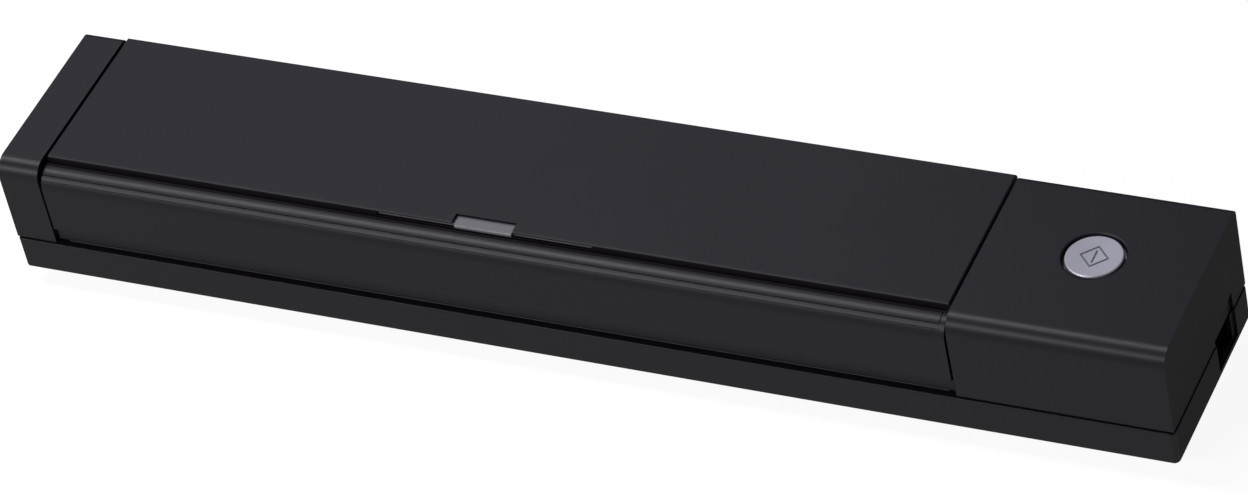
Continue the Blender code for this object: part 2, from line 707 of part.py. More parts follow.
# Rear cover: the back wall between the blocks, with the fixed hinge knuckles of the tray
def rear_cover():
    top = TRAY_BOTTOM - REAR_COVER_DROP
    inner = UPPER_REAR - BLOCK_WALL
    left = LEFT_SEAM + FIT_GAP
    right = RIGHT_SEAM - FIT_GAP
    bm = bmesh.new()
    add_prism(bm, [(inner, UPPER_BOTTOM), (UPPER_REAR, UPPER_BOTTOM), (UPPER_REAR, top), (inner, top)],
              left, right)
    cover = build("rear_cover", bm, black_plastic(), smooth=True)

    notches = bmesh.new()
    for start in TRAY_KNUCKLE_STARTS:
        add_box(notches, (start - FIT_GAP, inner - OVERRUN, TRAY_AXIS[1] - KNUCKLE_RADIUS - FIT_GAP),
                (start + TRAY_KNUCKLE_LENGTH + FIT_GAP, UPPER_REAR + OVERRUN, top + OVERRUN))
    cut(cover, notches)

    knuckles = bmesh.new()
    for start in TRAY_KNUCKLE_STARTS:
        for near in (start - FIT_GAP - FIXED_KNUCKLE_LENGTH, start + TRAY_KNUCKLE_LENGTH + FIT_GAP):
            add_turned_x(knuckles, TRAY_AXIS, [(near, KNUCKLE_RADIUS),
                                               (near + FIXED_KNUCKLE_LENGTH, KNUCKLE_RADIUS)])
    fuse(cover, knuckles)

    bores = bmesh.new()
    for start in TRAY_KNUCKLE_STARTS:
        reach = FIT_GAP + FIXED_KNUCKLE_LENGTH + OVERRUN
        add_turned_x(bores, TRAY_AXIS, [(start - reach, KNUCKLE_BORE),
                                        (start + TRAY_KNUCKLE_LENGTH + reach, KNUCKLE_BORE)],
                     SMALL_SEGMENTS)
    cut(cover, bores)


def tray_hinge_pins():
    for side, start in zip(("left", "right"), TRAY_KNUCKLE_STARTS):
        bm = bmesh.new()
        reach = FIT_GAP + FIXED_KNUCKLE_LENGTH
        add_turned_x(bm, TRAY_AXIS, [(start - reach, HINGE_PIN_RADIUS),
                                     (start + TRAY_KNUCKLE_LENGTH + reach, HINGE_PIN_RADIUS)],
                     SMALL_SEGMENTS)
        build(side + "_tray_hinge_pin", bm, steel(), smooth=True)


# Frame: side plates with a bush for each shaft
def side_plate_outline():
    foot = FLOOR_TOP + FIT_GAP
    rear = RAMP_REAR[0] - UNDER_INSET
    clear = OUTLET_RADIUS + SLIDE_GAP
    outline = [(COVER_AXIS[0] + UNDER_INSET, foot), (rear, foot), (rear, ramp_height(rear))]
    outline += [(RAMP_FRONT[0], RAMP_FRONT[1])]
    edge = PATH_HALF_GAP / 2
    outline += [path_point(PATH_HALF_GAP, edge), path_point(along_at_radius(edge, clear), edge)]
    start = bearing(COVER_AXIS, outline[-1])
    outline += arc(COVER_AXIS, clear, start, -SIDE_PLATE_CURL)[1:]
    outline += [(outline[-1][0], RIM_HEIGHT + CASING_FLOOR)]
    return outline


def side_plates():
    for side, start in zip(("left", "right"), PLATE_STARTS):
        bm = bmesh.new()
        add_prism(bm, side_plate_outline(), start, start + SIDE_PLATE)
        plate = build(side + "_side_plate", bm, inner_plastic())
        holes = bmesh.new()
        for _, axis, _ in SHAFTS:
            add_turned_x(holes, axis, [(start - OVERRUN, BUSH_RADIUS + ROLLER_BORE_GAP),
                                       (start + SIDE_PLATE + OVERRUN, BUSH_RADIUS + ROLLER_BORE_GAP)])
        cut(plate, holes)


def shaft_bushes():
    for side, start in zip(("left", "right"), PLATE_STARTS):
        outer = start if side == "left" else start + SIDE_PLATE
        toward = -1 if side == "left" else 1
        for shaft, axis, radius in SHAFTS:
            bm = bmesh.new()
            flange_start = outer + toward * ROLLER_BORE_GAP
            flange_end = flange_start + toward * BUSH_FLANGE
            inner_end = outer - toward * SIDE_PLATE
            bore = radius + BUSH_BORE_GAP
            add_turned_x(bm, axis, [
                (flange_end, bore), (flange_end, BUSH_FLANGE_RADIUS), (flange_start, BUSH_FLANGE_RADIUS),
                (flange_start, BUSH_RADIUS), (inner_end, BUSH_RADIUS), (inner_end, bore),
            ], closed=True)
            build(side + "_" + shaft + "_bush", bm, gear_plastic(), smooth=True)


# Lower paper guide: the inlet ramp, the straight run and the trough that turns the sheet outwards
def lower_guide_outline():
    surface = -PATH_HALF_GAP
    under = -PATH_HALF_GAP - GUIDE_THICKNESS
    trough = OUTLET_RADIUS
    back = OUTLET_RADIUS + GUIDE_THICKNESS
    end_y = FRONT_Y + CASING_WALL + FIT_GAP
    top_end = path_point(along_at_radius(surface, trough), surface)
    under_end = path_point(along_at_radius(under, back), under)
    under_front = path_point(0, under)
    slope = RAMP_RISE / (RAMP_REAR[0] - RAMP_FRONT[0])
    under_rear = (RAMP_REAR[0], RAMP_REAR[1] - GUIDE_THICKNESS)
    fall = ramp_height(under_front[0]) - GUIDE_THICKNESS - under_front[1]
    under_meet = path_point(fall / (slope * cos(PATH_SLOPE) - sin(PATH_SLOPE)), under)
    outline = [RAMP_REAR, RAMP_FRONT]
    outline += arc(COVER_AXIS, trough, bearing(COVER_AXIS, top_end), -pi / 2)
    outline += [(end_y, COVER_AXIS[1] - trough), (end_y, COVER_AXIS[1] - back)]
    outline += arc(COVER_AXIS, back, -pi / 2, bearing(COVER_AXIS, under_end))
    outline += [under_meet, under_rear]
    return outline


def lower_paper_guide():
    bm = bmesh.new()
    add_prism(bm, lower_guide_outline(), GUIDE_LEFT, GUIDE_RIGHT)
    guide = build("lower_paper_guide", bm, inner_plastic())

    post = bmesh.new()
    add_turned_z(post, PINION_CENTRE, [
        (RACK_BOTTOM, STUD_RADIUS),
        (ramp_height(PINION_CENTRE[1]) - GUIDE_THICKNESS / 2, STUD_RADIUS),
    ], SMALL_SEGMENTS)
    fuse(guide, post)

    windows = bmesh.new()
    for axis, radius, spans in roller_spans():
        for low, high in spans:
            clear = radius + FIT_GAP
            add_turned_x(windows, axis, [(low - FIT_GAP, clear), (high + FIT_GAP, clear)])
    add_path_box(windows, glass_span(FIT_GAP), (-PATH_HALF_GAP - GUIDE_THICKNESS - OVERRUN / 2,
                                                -PATH_HALF_GAP + OVERRUN), sensor_span(FIT_GAP))
    for side in (-1, 1):
        y = rack_middle(side)
        ends = sorted((fence_x(side), fence_x(side) - side * GUIDE_TRAVEL))
        half = GUIDE_TONGUE / 2 + FIT_GAP
        add_box(windows, (ends[0] - half, y - half, RACK_TOP),
                (ends[1] + half, y + half, RAMP_REAR[1] + OVERRUN))
    cut(guide, windows)


def roller_spans():
    half = FEED_ROLLER_LENGTH / 2
    eject = [(PANEL_CENTRE + side * EJECT_ROLLER_SPREAD - EJECT_ROLLER_LENGTH / 2,
              PANEL_CENTRE + side * EJECT_ROLLER_SPREAD + EJECT_ROLLER_LENGTH / 2) for side in (-1, 1)]
    return (
        (FEED_AXIS, FEED_ROLLER_RADIUS, [(PANEL_CENTRE - half, PANEL_CENTRE + half)]),
        (EJECT_AXIS, EJECT_ROLLER_RADIUS, eject),
    )


# Boxes laid along the paper path: spans along it, off it and across it
def add_path_box(bm, along, off, across):
    outline = [path_point(along[0], off[0]), path_point(along[1], off[0]),
               path_point(along[1], off[1]), path_point(along[0], off[1])]
    add_prism(bm, outline, across[0], across[1])


def glass_span(gap=0.0):
    middle = SENSOR_START + SENSOR_WIDTH / 2
    half = SENSOR_GLASS_WIDTH / 2 + gap
    return (middle - half, middle + half)


def sensor_span(gap=0.0):
    return (PANEL_CENTRE - SENSOR_LENGTH / 2 - gap, PANEL_CENTRE + SENSOR_LENGTH / 2 + gap)


def image_sensors(carrier):
    near = PATH_HALF_GAP + GUIDE_THICKNESS + FIT_GAP / 2
    glass_near = PATH_HALF_GAP + GLASS_SINK
    for name, side, body in (("rear", -1, None), ("front", 1, carrier)):
        bm = bmesh.new()
        add_path_box(bm, (SENSOR_START, SENSOR_START + SENSOR_WIDTH),
                     (side * near, side * (near + SENSOR_DEPTH)), sensor_span())
        build(name + "_image_sensor", bm, inner_plastic(), body)
        bm = bmesh.new()
        add_path_box(bm, glass_span(), (side * glass_near, side * (glass_near + SENSOR_GLASS)),
                     sensor_span())
        build(name + "_sensor_glass", bm, sensor_glass(), body)


# Front cover: skin, end walls and hinge ears in one moulding, hollow towards the paper path
def nose_arc(start, end, radius=FRONT_ROUND):
    return arc((UPPER_FRONT + FRONT_ROUND, STRIP_TOP - FRONT_ROUND), radius, start, end)


def cover_outline():
    back = COVER_SWING_RADIUS
    edge = PATH_HALF_GAP
    strip_rise = STRIP_TOP - COVER_LEDGE_DROP
    ledge_end = COVER_AXIS[0] + sqrt(max(back ** 2 - (strip_rise - COVER_AXIS[1]) ** 2, 0))
    path_top = path_point(along_at_radius(edge, back), edge)
    path_end = path_point(along_at_radius(edge, COVER_FOOT_RADIUS), edge)
    outline = [(STRIP_REAR, STRIP_TOP)]
    outline += nose_arc(pi / 2, pi)
    outline += [
        (UPPER_FRONT, BAND_TOP + BAND_BEVEL),
        (UPPER_FRONT + BAND_BEVEL, BAND_TOP),
        (BAND_FRONT, BAND_TOP),
        (BAND_FRONT, BAND_BOTTOM),
        (BAND_FRONT + BAND_WALL, BAND_BOTTOM),
        (COVER_AXIS[0], COVER_AXIS[1] - COVER_EAR_RADIUS / 2),
        path_end,
        path_top,
    ]
    outline += arc(COVER_AXIS, back, bearing(COVER_AXIS, path_top),
                   bearing(COVER_AXIS, (ledge_end, strip_rise)))[1:]
    outline += [(STRIP_REAR, strip_rise)]
    return outline


def cover_hollow_outline():
    front = UPPER_FRONT + COVER_WALL
    shelf = BAND_TOP + BAND_WALL
    band_inner = BAND_FRONT + BAND_WALL
    centre = (UPPER_FRONT + FRONT_ROUND, STRIP_TOP - FRONT_ROUND)
    ledge = STRIP_TOP - COVER_LEDGE_DROP - COVER_WALL / 2
    beyond = COVER_SWING_RADIUS + OVERRUN
    outline = arc(centre, FRONT_ROUND - COVER_WALL, pi / 2, pi)
    outline += [(front, shelf), (band_inner, shelf), (band_inner, BAND_BOTTOM - OVERRUN)]
    outline += [(COVER_AXIS[0] + beyond, BAND_BOTTOM - OVERRUN), (COVER_AXIS[0] + beyond, ledge)]
    outline += [(STRIP_REAR, ledge)]
    return outline


def front_cover(carrier):
    bm = bmesh.new()
    add_prism(bm, cover_outline(), PANEL_LEFT, PANEL_RIGHT)
    cover = build("front_cover", bm, black_plastic(), carrier, smooth=True)

    hollow = bmesh.new()
    add_prism(hollow, cover_hollow_outline(), PANEL_LEFT + COVER_WALL, PANEL_RIGHT - COVER_WALL)
    cut(cover, hollow)

    ears = bmesh.new()
    for x in (PANEL_LEFT, PANEL_RIGHT - COVER_EAR_LENGTH):
        add_turned_x(ears, COVER_AXIS, [(x, COVER_EAR_RADIUS), (x + COVER_EAR_LENGTH, COVER_EAR_RADIUS)])
    fuse(cover, ears)

    holes = bmesh.new()
    for x in (PANEL_LEFT - OVERRUN, PANEL_RIGHT - COVER_EAR_LENGTH - OVERRUN):
        end = x + COVER_EAR_LENGTH + 2 * OVERRUN
        add_turned_x(holes, COVER_AXIS, [(x, COVER_PIN_BORE), (end, COVER_PIN_BORE)], SMALL_SEGMENTS)
    for x in (PANEL_LEFT - OVERRUN, PANEL_RIGHT - COVER_WALL - OVERRUN):
        end = x + COVER_WALL + 2 * OVERRUN
        add_turned_x(holes, PINCH_AXIS, [(x, PINCH_BORE), (end, PINCH_BORE)], SMALL_SEGMENTS)
    add_prism(holes, nose_sector(NOSE_THICKNESS, 0, OVERRUN), PANEL_LEFT - OVERRUN,
              PANEL_RIGHT - NOSE_END_MARGIN)
    cut(cover, holes)


def nose_sector(depth, inset, proud):
    start = pi / 2 + inset / FRONT_ROUND
    end = pi / 2 + NOSE_SEAM_ANGLE - inset / FRONT_ROUND
    return nose_arc(start, end, FRONT_ROUND + proud) + nose_arc(end, start, FRONT_ROUND - depth)


def nose_strip(carrier):
    bm = bmesh.new()
    add_prism(bm, nose_sector(NOSE_THICKNESS - NOSE_GAP, NOSE_GAP, 0), PANEL_LEFT,
              PANEL_RIGHT - NOSE_END_MARGIN - NOSE_GAP)
    build("nose_strip", bm, black_plastic(), carrier, smooth=True)


def cover_hinge_pins():
    starts = (LEFT_SEAM - BLOCK_WALL, RIGHT_SEAM + BLOCK_WALL - COVER_PIN_LENGTH)
    for side, start in zip(("left", "right"), starts):
        bm = bmesh.new()
        end = start + COVER_PIN_LENGTH
        add_turned_x(bm, COVER_AXIS, [(start, COVER_PIN_RADIUS), (end, COVER_PIN_RADIUS)], SMALL_SEGMENTS)
        build(side + "_cover_hinge_pin", bm, steel(), smooth=True)


# Front inner guide, clipped between the cover's end walls
def front_inner_guide(carrier):
    outer = COVER_BACK_RADIUS
    inner = COVER_BACK_RADIUS - GUIDE_THICKNESS
    near = PATH_HALF_GAP
    far = PATH_HALF_GAP + GUIDE_THICKNESS
    ledge = STRIP_TOP - COVER_LEDGE_DROP - COVER_WALL / 2 - FIT_GAP
    rise = ledge - GUIDE_THICKNESS - COVER_AXIS[1]
    top = atan2(rise, sqrt(max(outer ** 2 - rise ** 2, 0)))
    corner = path_point(along_at_radius(near, outer), near)
    inner_corner = path_point(along_at_radius(far, inner), far)
    end = (path_point(0, far)[0] - BAND_FRONT - BAND_WALL - FIT_GAP) / cos(PATH_SLOPE)
    outline = arc(COVER_AXIS, outer, top, bearing(COVER_AXIS, corner))
    outline += [path_point(end, near), path_point(end, far)]
    outline += arc(COVER_AXIS, inner, bearing(COVER_AXIS, inner_corner), top)
    bm = bmesh.new()
    add_prism(bm, outline, PANEL_LEFT + COVER_WALL + FIT_GAP, PANEL_RIGHT - COVER_WALL - FIT_GAP)
    guide = build("front_inner_guide", bm, inner_plastic(), carrier)

    windows = bmesh.new()
    depth = (near - OVERRUN / 2, far + OVERRUN / 2)
    add_path_box(windows, glass_span(FIT_GAP), depth, sensor_span(FIT_GAP))
    add_path_box(windows, pad_span(FIT_GAP), depth, pad_width(FIT_GAP))
    for low, high in roller_spans()[1][2]:
        add_turned_x(windows, PINCH_AXIS, [(low - FIT_GAP, PINCH_ROLLER_RADIUS + FIT_GAP),
                                           (high + FIT_GAP, PINCH_ROLLER_RADIUS + FIT_GAP)])
    cut(guide, windows)


def pad_span(gap=0.0):
    half = PAD_WIDTH / 2 + gap
    return (FEED_NIP - half, FEED_NIP + half)


def pad_width(gap=0.0):
    half = PAD_LENGTH / 2 + gap
    return (PANEL_CENTRE - half, PANEL_CENTRE + half)


def separation_pad(carrier):
    bm = bmesh.new()
    add_path_box(bm, pad_span(), (NIP_HALF_GAP, NIP_HALF_GAP + PAD_THICKNESS), pad_width())
    build("separation_pad", bm, rubber(), carrier)


# Rollers and shafts
def roller(name, axis, radius, bore, span, finish, carrier):
    bm = bmesh.new()
    add_tube_x(bm, axis, radius, bore, span[0], span[1])
    build(name, bm, finish, carrier, smooth=True)


def rod(name, axis, radius, span, carrier):
    bm = bmesh.new()
    add_turned_x(bm, axis, [(span[0], radius), (span[1], radius)], SMALL_SEGMENTS)
    build(name, bm, steel(), carrier, smooth=True)


def rollers(feed, eject, pinch):
    (_, _, feed_spans), (_, _, eject_spans) = roller_spans()
    shaft_span = (LEFT_SEAM + FIT_GAP, GEAR_END)
    rod("feed_shaft", FEED_AXIS, FEED_SHAFT_RADIUS, shaft_span, feed)
    rod("eject_shaft", EJECT_AXIS, EJECT_SHAFT_RADIUS, shaft_span, eject)
    rod("pinch_shaft", PINCH_AXIS, PINCH_SHAFT_RADIUS, (PANEL_LEFT + FIT_GAP, PANEL_RIGHT - FIT_GAP), pinch)
    roller("feed_roller", FEED_AXIS, FEED_ROLLER_RADIUS, FEED_SHAFT_RADIUS + ROLLER_BORE_GAP, feed_spans[0],
           rubber(), feed)
    for side, span in zip(("left", "right"), eject_spans):
        roller(side + "_eject_roller", EJECT_AXIS, EJECT_ROLLER_RADIUS,
               EJECT_SHAFT_RADIUS + ROLLER_BORE_GAP, span, rubber(), eject)
        roller(side + "_pinch_roller", PINCH_AXIS, PINCH_ROLLER_RADIUS,
               PINCH_SHAFT_RADIUS + ROLLER_BORE_GAP, span, gear_plastic(), pinch)


# Gears, their bracket and the motor
def gear(name, axis, layers, bore, carrier):
    bm = bmesh.new()
    for teeth, phase, start, end in layers:
        add_prism(bm, gear_outline(axis, teeth, phase), start, end)
    made = build(name, bm, gear_plastic(), carrier)
    hole = bmesh.new()
    ends = (layers[0][2] - OVERRUN, layers[-1][3] + OVERRUN)
    add_turned_x(hole, axis, [(x, bore) for x in ends], SMALL_SEGMENTS)
    cut(made, hole)
    return made


def gears(feed, eject, idler, compound, pinion):
    stud_bore = STUD_RADIUS + BUSH_BORE_GAP
    gear("feed_gear", FEED_AXIS, [(FEED_TEETH, FEED_PHASE, GEAR_START, GEAR_END)],
         FEED_SHAFT_RADIUS + ROLLER_BORE_GAP, feed)
    gear("eject_gear", EJECT_AXIS, [(EJECT_TEETH, EJECT_PHASE, GEAR_START, GEAR_END)],
         EJECT_SHAFT_RADIUS + ROLLER_BORE_GAP, eject)
    gear("idler_gear", IDLER_AXIS, [(IDLER_TEETH, IDLER_PHASE, GEAR_START, GEAR_END)], stud_bore, idler)
    wheel = gear("compound_gear", WHEEL_AXIS, [(WHEEL_TEETH, WHEEL_PHASE, WHEEL_START, WHEEL_END)],
                 stud_bore, compound)
    small = bmesh.new()
    add_prism(small, gear_outline(WHEEL_AXIS, PINION_TEETH, SMALL_PHASE), GEAR_START, WHEEL_START + FIT_GAP)
    fuse(wheel, small)
    hole = bmesh.new()
    add_turned_x(hole, WHEEL_AXIS, [(GEAR_START - OVERRUN, stud_bore), (WHEEL_END + OVERRUN, stud_bore)],
                 SMALL_SEGMENTS)
    cut(wheel, hole)

    bm = bmesh.new()
    add_prism(bm, gear_outline(MOTOR_AXIS, PINION_TEETH, MOTOR_PHASE), WHEEL_START, WHEEL_END)
    made = build("motor_pinion", bm, steel(), pinion)
    stem = bmesh.new()
    ends = (WHEEL_END - FIT_GAP, BOARD_START + MOTOR_LENGTH / 2)
    add_turned_x(stem, MOTOR_AXIS, [(x, STUD_RADIUS) for x in ends], SMALL_SEGMENTS)
    fuse(made, stem)


def gear_bracket():
    foot = FLOOR_TOP + FIT_GAP
    margin = 2 * BUSH_RADIUS
    outline = [
        (IDLER_AXIS[0] - margin, foot),
        (MOTOR_AXIS[0] + MOTOR_RADIUS / 2, foot),
        (MOTOR_AXIS[0] + MOTOR_RADIUS, MOTOR_AXIS[1] - MOTOR_RADIUS),
        (MOTOR_AXIS[0] + MOTOR_RADIUS, MOTOR_AXIS[1] + MOTOR_RADIUS),
        (WHEEL_AXIS[0] - margin, MOTOR_AXIS[1] + MOTOR_RADIUS),
        (IDLER_AXIS[0] - margin, IDLER_AXIS[1] + margin),
    ]
    bm = bmesh.new()
    add_prism(bm, outline, BRACKET_START, BRACKET_END)
    bracket = build("gear_bracket", bm, steel())
    studs = bmesh.new()
    for axis in (IDLER_AXIS, WHEEL_AXIS):
        add_turned_x(studs, axis, [(GEAR_START, STUD_RADIUS), (BRACKET_START + FIT_GAP, STUD_RADIUS)],
                     SMALL_SEGMENTS)
    fuse(bracket, studs)
    hole = bmesh.new()
    add_turned_x(hole, MOTOR_AXIS, [(BRACKET_START - OVERRUN, STUD_RADIUS + FIT_GAP),
                                    (BRACKET_END + OVERRUN, STUD_RADIUS + FIT_GAP)], SMALL_SEGMENTS)
    cut(bracket, hole)


def drive_motor():
    start = BRACKET_END + FIT_GAP
    bore = STUD_RADIUS + BUSH_BORE_GAP
    blind = BOARD_START + MOTOR_LENGTH / 2 + FIT_GAP
    bm = bmesh.new()
    add_turned_x(bm, MOTOR_AXIS, [
        (blind, bore), (start, bore), (start, MOTOR_RADIUS), (start + MOTOR_LENGTH, MOTOR_RADIUS),
    ])
    build("drive_motor", bm, steel(), smooth=True)


# Boards, port connector and switches
def board_outline():
    front = FRONT_Y + SCREW_FROM_EDGE + BOSS_RADIUS + 2 * FIT_GAP
    rear = BASE_REAR - SCREW_FROM_EDGE - BOSS_RADIUS - 2 * FIT_GAP
    right = HALF_LENGTH - CASING_WALL - PORT_POCKET / 2 - FIT_GAP
    tab_left = SLIDER_CENTRE - SWITCH_BODY_LENGTH / 2 - BOARD_THICKNESS
    tab_right = SLIDER_CENTRE + SWITCH_BODY_LENGTH / 2 + BOARD_THICKNESS
    tab_rear = BASE_REAR - CASING_WALL - 2 * FIT_GAP
    return [(BOARD_START, front), (right, front), (right, rear), (tab_right, rear), (tab_right, tab_rear),
            (tab_left, tab_rear), (tab_left, rear), (BOARD_START, rear)]


def board_post_places():
    (left, front), (right, _), (_, rear) = board_outline()[:3]
    inset = 2 * POST_RADIUS
    right_post = right - SCREW_FROM_END
    return [(left + inset, front + inset), (left + inset, rear - inset),
            (right_post, front + inset), (right_post, rear - inset)]


def boards():
    bm = bmesh.new()
    add_plate(bm, board_outline(), BOARD_HEIGHT, BOARD_HEIGHT + BOARD_THICKNESS)
    build("main_circuit_board", bm, board_green())

    top = BOARD_HEIGHT + BOARD_THICKNESS + FIT_GAP
    end = HALF_LENGTH - PORT_POCKET
    bm = bmesh.new()
    add_box(bm, (end - CONNECTOR_LENGTH, PORT_CENTRE - CONNECTOR_WIDTH / 2, top),
            (end, PORT_CENTRE + CONNECTOR_WIDTH / 2, top + CONNECTOR_HEIGHT))
    connector = build("port_connector", bm, steel())
    wall = CONNECTOR_WALL
    mouth = bmesh.new()
    add_box(mouth, (end - CONNECTOR_LENGTH / 2, PORT_CENTRE - CONNECTOR_WIDTH / 2 + wall, top + wall),
            (end + OVERRUN, PORT_CENTRE + CONNECTOR_WIDTH / 2 - wall, top + CONNECTOR_HEIGHT - wall))
    cut(connector, mouth)

    x, y = BUTTON_PLACE
    reach = FLANGE_RADIUS + BUTTON_POST_REACH + BOARD_EDGE
    half = FLANGE_RADIUS / 2
    bm = bmesh.new()
    add_box(bm, (x - reach, y - half, BUTTON_BOARD_TOP - BOARD_THICKNESS),
            (x + reach, y + half, BUTTON_BOARD_TOP))
    build("button_board", bm, board_green())
    bm = bmesh.new()
    half = SWITCH_SIZE / 2
    add_box(bm, (x - half, y - half, BUTTON_BOARD_TOP + FIT_GAP),
            (x + half, y + half, SWITCH_TOP - BUTTON_TRAVEL))
    switch = build("start_switch", bm, inner_plastic())
    plunger = bmesh.new()
    add_turned_z(plunger, BUTTON_PLACE, [(SWITCH_TOP - SWITCH_HEIGHT / 2, BUTTON_STEM_RADIUS),
                                         (SWITCH_TOP, BUTTON_STEM_RADIUS)], SMALL_SEGMENTS)
    fuse(switch, plunger)


def button_post_places():
    x, y = BUTTON_PLACE
    reach = FLANGE_RADIUS + BUTTON_POST_REACH
    return [(x - reach, y), (x + reach, y)]


def auto_start_switch(carrier):
    low = BOARD_HEIGHT + BOARD_THICKNESS + FIT_GAP
    half = SWITCH_BODY_LENGTH / 2
    rear = BASE_REAR - CASING_WALL - FIT_GAP - SLIDER_FLANGE
    bm = bmesh.new()
    add_box(bm, (SLIDER_CENTRE - half, rear - FIT_GAP - SWITCH_SIZE, low),
            (SLIDER_CENTRE + half, rear - FIT_GAP, low + SWITCH_BODY_HEIGHT))
    build("auto_start_switch", bm, inner_plastic())

    x = SLIDER_CENTRE - SLIDER_TRAVEL / 2
    bm = bmesh.new()
    half = (SLIDER_WIDTH / 2, SLIDER_HEIGHT / 2)
    add_box(bm, (x - half[0], rear + SLIDER_FLANGE / 2, SLIDER_HEIGHT_LEVEL - half[1]),
            (x + half[0], BASE_REAR + SLIDER_PROUD, SLIDER_HEIGHT_LEVEL + half[1]))
    slider = build("auto_start_slider", bm, black_plastic(), carrier)
    plate = bmesh.new()
    rim = 2 * SLIDER_FLANGE
    add_box(plate, (x - half[0] - rim, rear, SLIDER_HEIGHT_LEVEL - SWITCH_BODY_HEIGHT / 2),
            (x + half[0] + rim, rear + SLIDER_FLANGE, SLIDER_HEIGHT_LEVEL + SWITCH_BODY_HEIGHT / 2))
    fuse(slider, plate)


# Start button: cap, retaining flange and stem
def start_button(carrier):
    cap_bottom = BUTTON_TOP - BUTTON_CAP
    flange_bottom = FLANGE_TOP - BUTTON_FLANGE
    bm = bmesh.new()
    stations = [(STEM_BOTTOM, BUTTON_STEM_RADIUS), (flange_bottom, BUTTON_STEM_RADIUS),
                (flange_bottom, FLANGE_RADIUS), (FLANGE_TOP, FLANGE_RADIUS),
                (FLANGE_TOP, BUTTON_RADIUS), (max(cap_bottom, FLANGE_TOP + FIT_GAP), BUTTON_RADIUS)]
    for i in range(1, CORNER_STEPS + 1):
        turn = pi / 2 * i / CORNER_STEPS
        stations.append((BUTTON_TOP - BUTTON_ROUND * (1 - sin(turn)),
                         BUTTON_RADIUS - BUTTON_ROUND * (1 - cos(turn))))
    add_turned_z(bm, BUTTON_PLACE, stations, 2 * SEGMENTS)
    build("start_button", bm, button_silver(), carrier, smooth=True)


# Feed tray with its sleeve for the extension, its arms and knuckles
def tray_outline(drop):
    front = TRAY_FRONT
    rear = UPPER_REAR
    bevel = TRAY_EDGE_BEVEL
    top = BODY_HEIGHT - drop
    return [(front, TRAY_BOTTOM), (rear, TRAY_BOTTOM), (rear, top - bevel), (rear - bevel, top),
            (front + bevel, top), (front, top - bevel)]


def feed_tray(carrier):
    bm = bmesh.new()
    stations = ((PANEL_LEFT, TRAY_EDGE_BEVEL), (PANEL_LEFT + TRAY_EDGE_BEVEL, 0),
                (PANEL_RIGHT - TRAY_EDGE_BEVEL, 0), (PANEL_RIGHT, TRAY_EDGE_BEVEL))
    add_loft(bm, [[(x, y, z) for y, z in tray_outline(drop)] for x, drop in stations])
    tray = build("feed_tray", bm, black_plastic(), carrier)

    arms = bmesh.new()
    y, z = TRAY_AXIS
    radius = KNUCKLE_RADIUS
    sink = TRAY_THICKNESS / 2
    arm = [(y - radius, TRAY_BOTTOM + sink), (y - radius, z)]
    arm += arc(TRAY_AXIS, radius, pi, 2 * pi + ARM_REACH)[1:]
    arm += [(UPPER_REAR - TRAY_EDGE_BEVEL, TRAY_BOTTOM + sink)]
    for start in TRAY_KNUCKLE_STARTS:
        add_prism(arms, arm, start, start + TRAY_KNUCKLE_LENGTH)
    fuse(tray, arms)

    spaces = bmesh.new()
    for start in TRAY_KNUCKLE_STARTS:
        ends = (start - OVERRUN, start + TRAY_KNUCKLE_LENGTH + OVERRUN)
        add_turned_x(spaces, TRAY_AXIS, [(x, KNUCKLE_BORE) for x in ends], SMALL_SEGMENTS)
    half = EXTENSION_WIDTH / 2 + SLIDE_GAP
    add_box(spaces, (PANEL_CENTRE - half, TRAY_FRONT - OVERRUN, TRAY_BOTTOM + TRAY_FLOOR),
            (PANEL_CENTRE + half, extension_rear() + SLEEVE_END_GAP, BODY_HEIGHT - TRAY_SKIN))
    cut(tray, spaces)
    notch = bmesh.new()
    half = TAB_WIDTH / 2
    add_box(notch, (PANEL_CENTRE - half - NOTCH_SIDE_GAP, TRAY_FRONT - OVERRUN, extension_level()),
            (PANEL_CENTRE + half + SLIDE_GAP, TRAY_FRONT - TAB_PROUD + TAB_DEPTH + SLIDE_GAP,
             BODY_HEIGHT + OVERRUN))
    cut(tray, notch)


def extension_level():
    return TRAY_BOTTOM + TRAY_FLOOR + SLIDE_GAP


def extension_rear():
    return TRAY_FRONT + TAB_PROUD + EXTENSION_LENGTH


def tray_extension(carrier):
    low = extension_level()
    top = low + EXTENSION_THICKNESS
    half = EXTENSION_WIDTH / 2
    bm = bmesh.new()
    add_box(bm, (PANEL_CENTRE - half, TRAY_FRONT + TAB_PROUD, low),
            (PANEL_CENTRE + half, extension_rear(), top))
    extension = build("tray_extension", bm, grey_plastic(), carrier)
    tab = bmesh.new()
    half = TAB_WIDTH / 2
    front = TRAY_FRONT - TAB_PROUD
    crest = top + TAB_RISE
    outline = [(front + TAB_RISE, low), (front + TAB_DEPTH, low), (front + TAB_DEPTH, crest - TAB_RISE),
               (front + TAB_DEPTH - TAB_RISE, crest), (front + TAB_RISE, crest), (front, crest - TAB_RISE),
               (front, low + TAB_RISE)]
    add_prism(tab, outline, PANEL_CENTRE - half, PANEL_CENTRE + half)
    fuse(extension, tab)


# Document guides: a fence on a sliding foot, joined through the ramp to a rack
def fence_x(side):
    return PANEL_CENTRE + side * GUIDE_SPAN / 2


def rack_middle(side):
    return PINION_CENTRE[1] + side * (RACK_BACK - GUIDE_TONGUE / 2 - SLIDE_GAP)


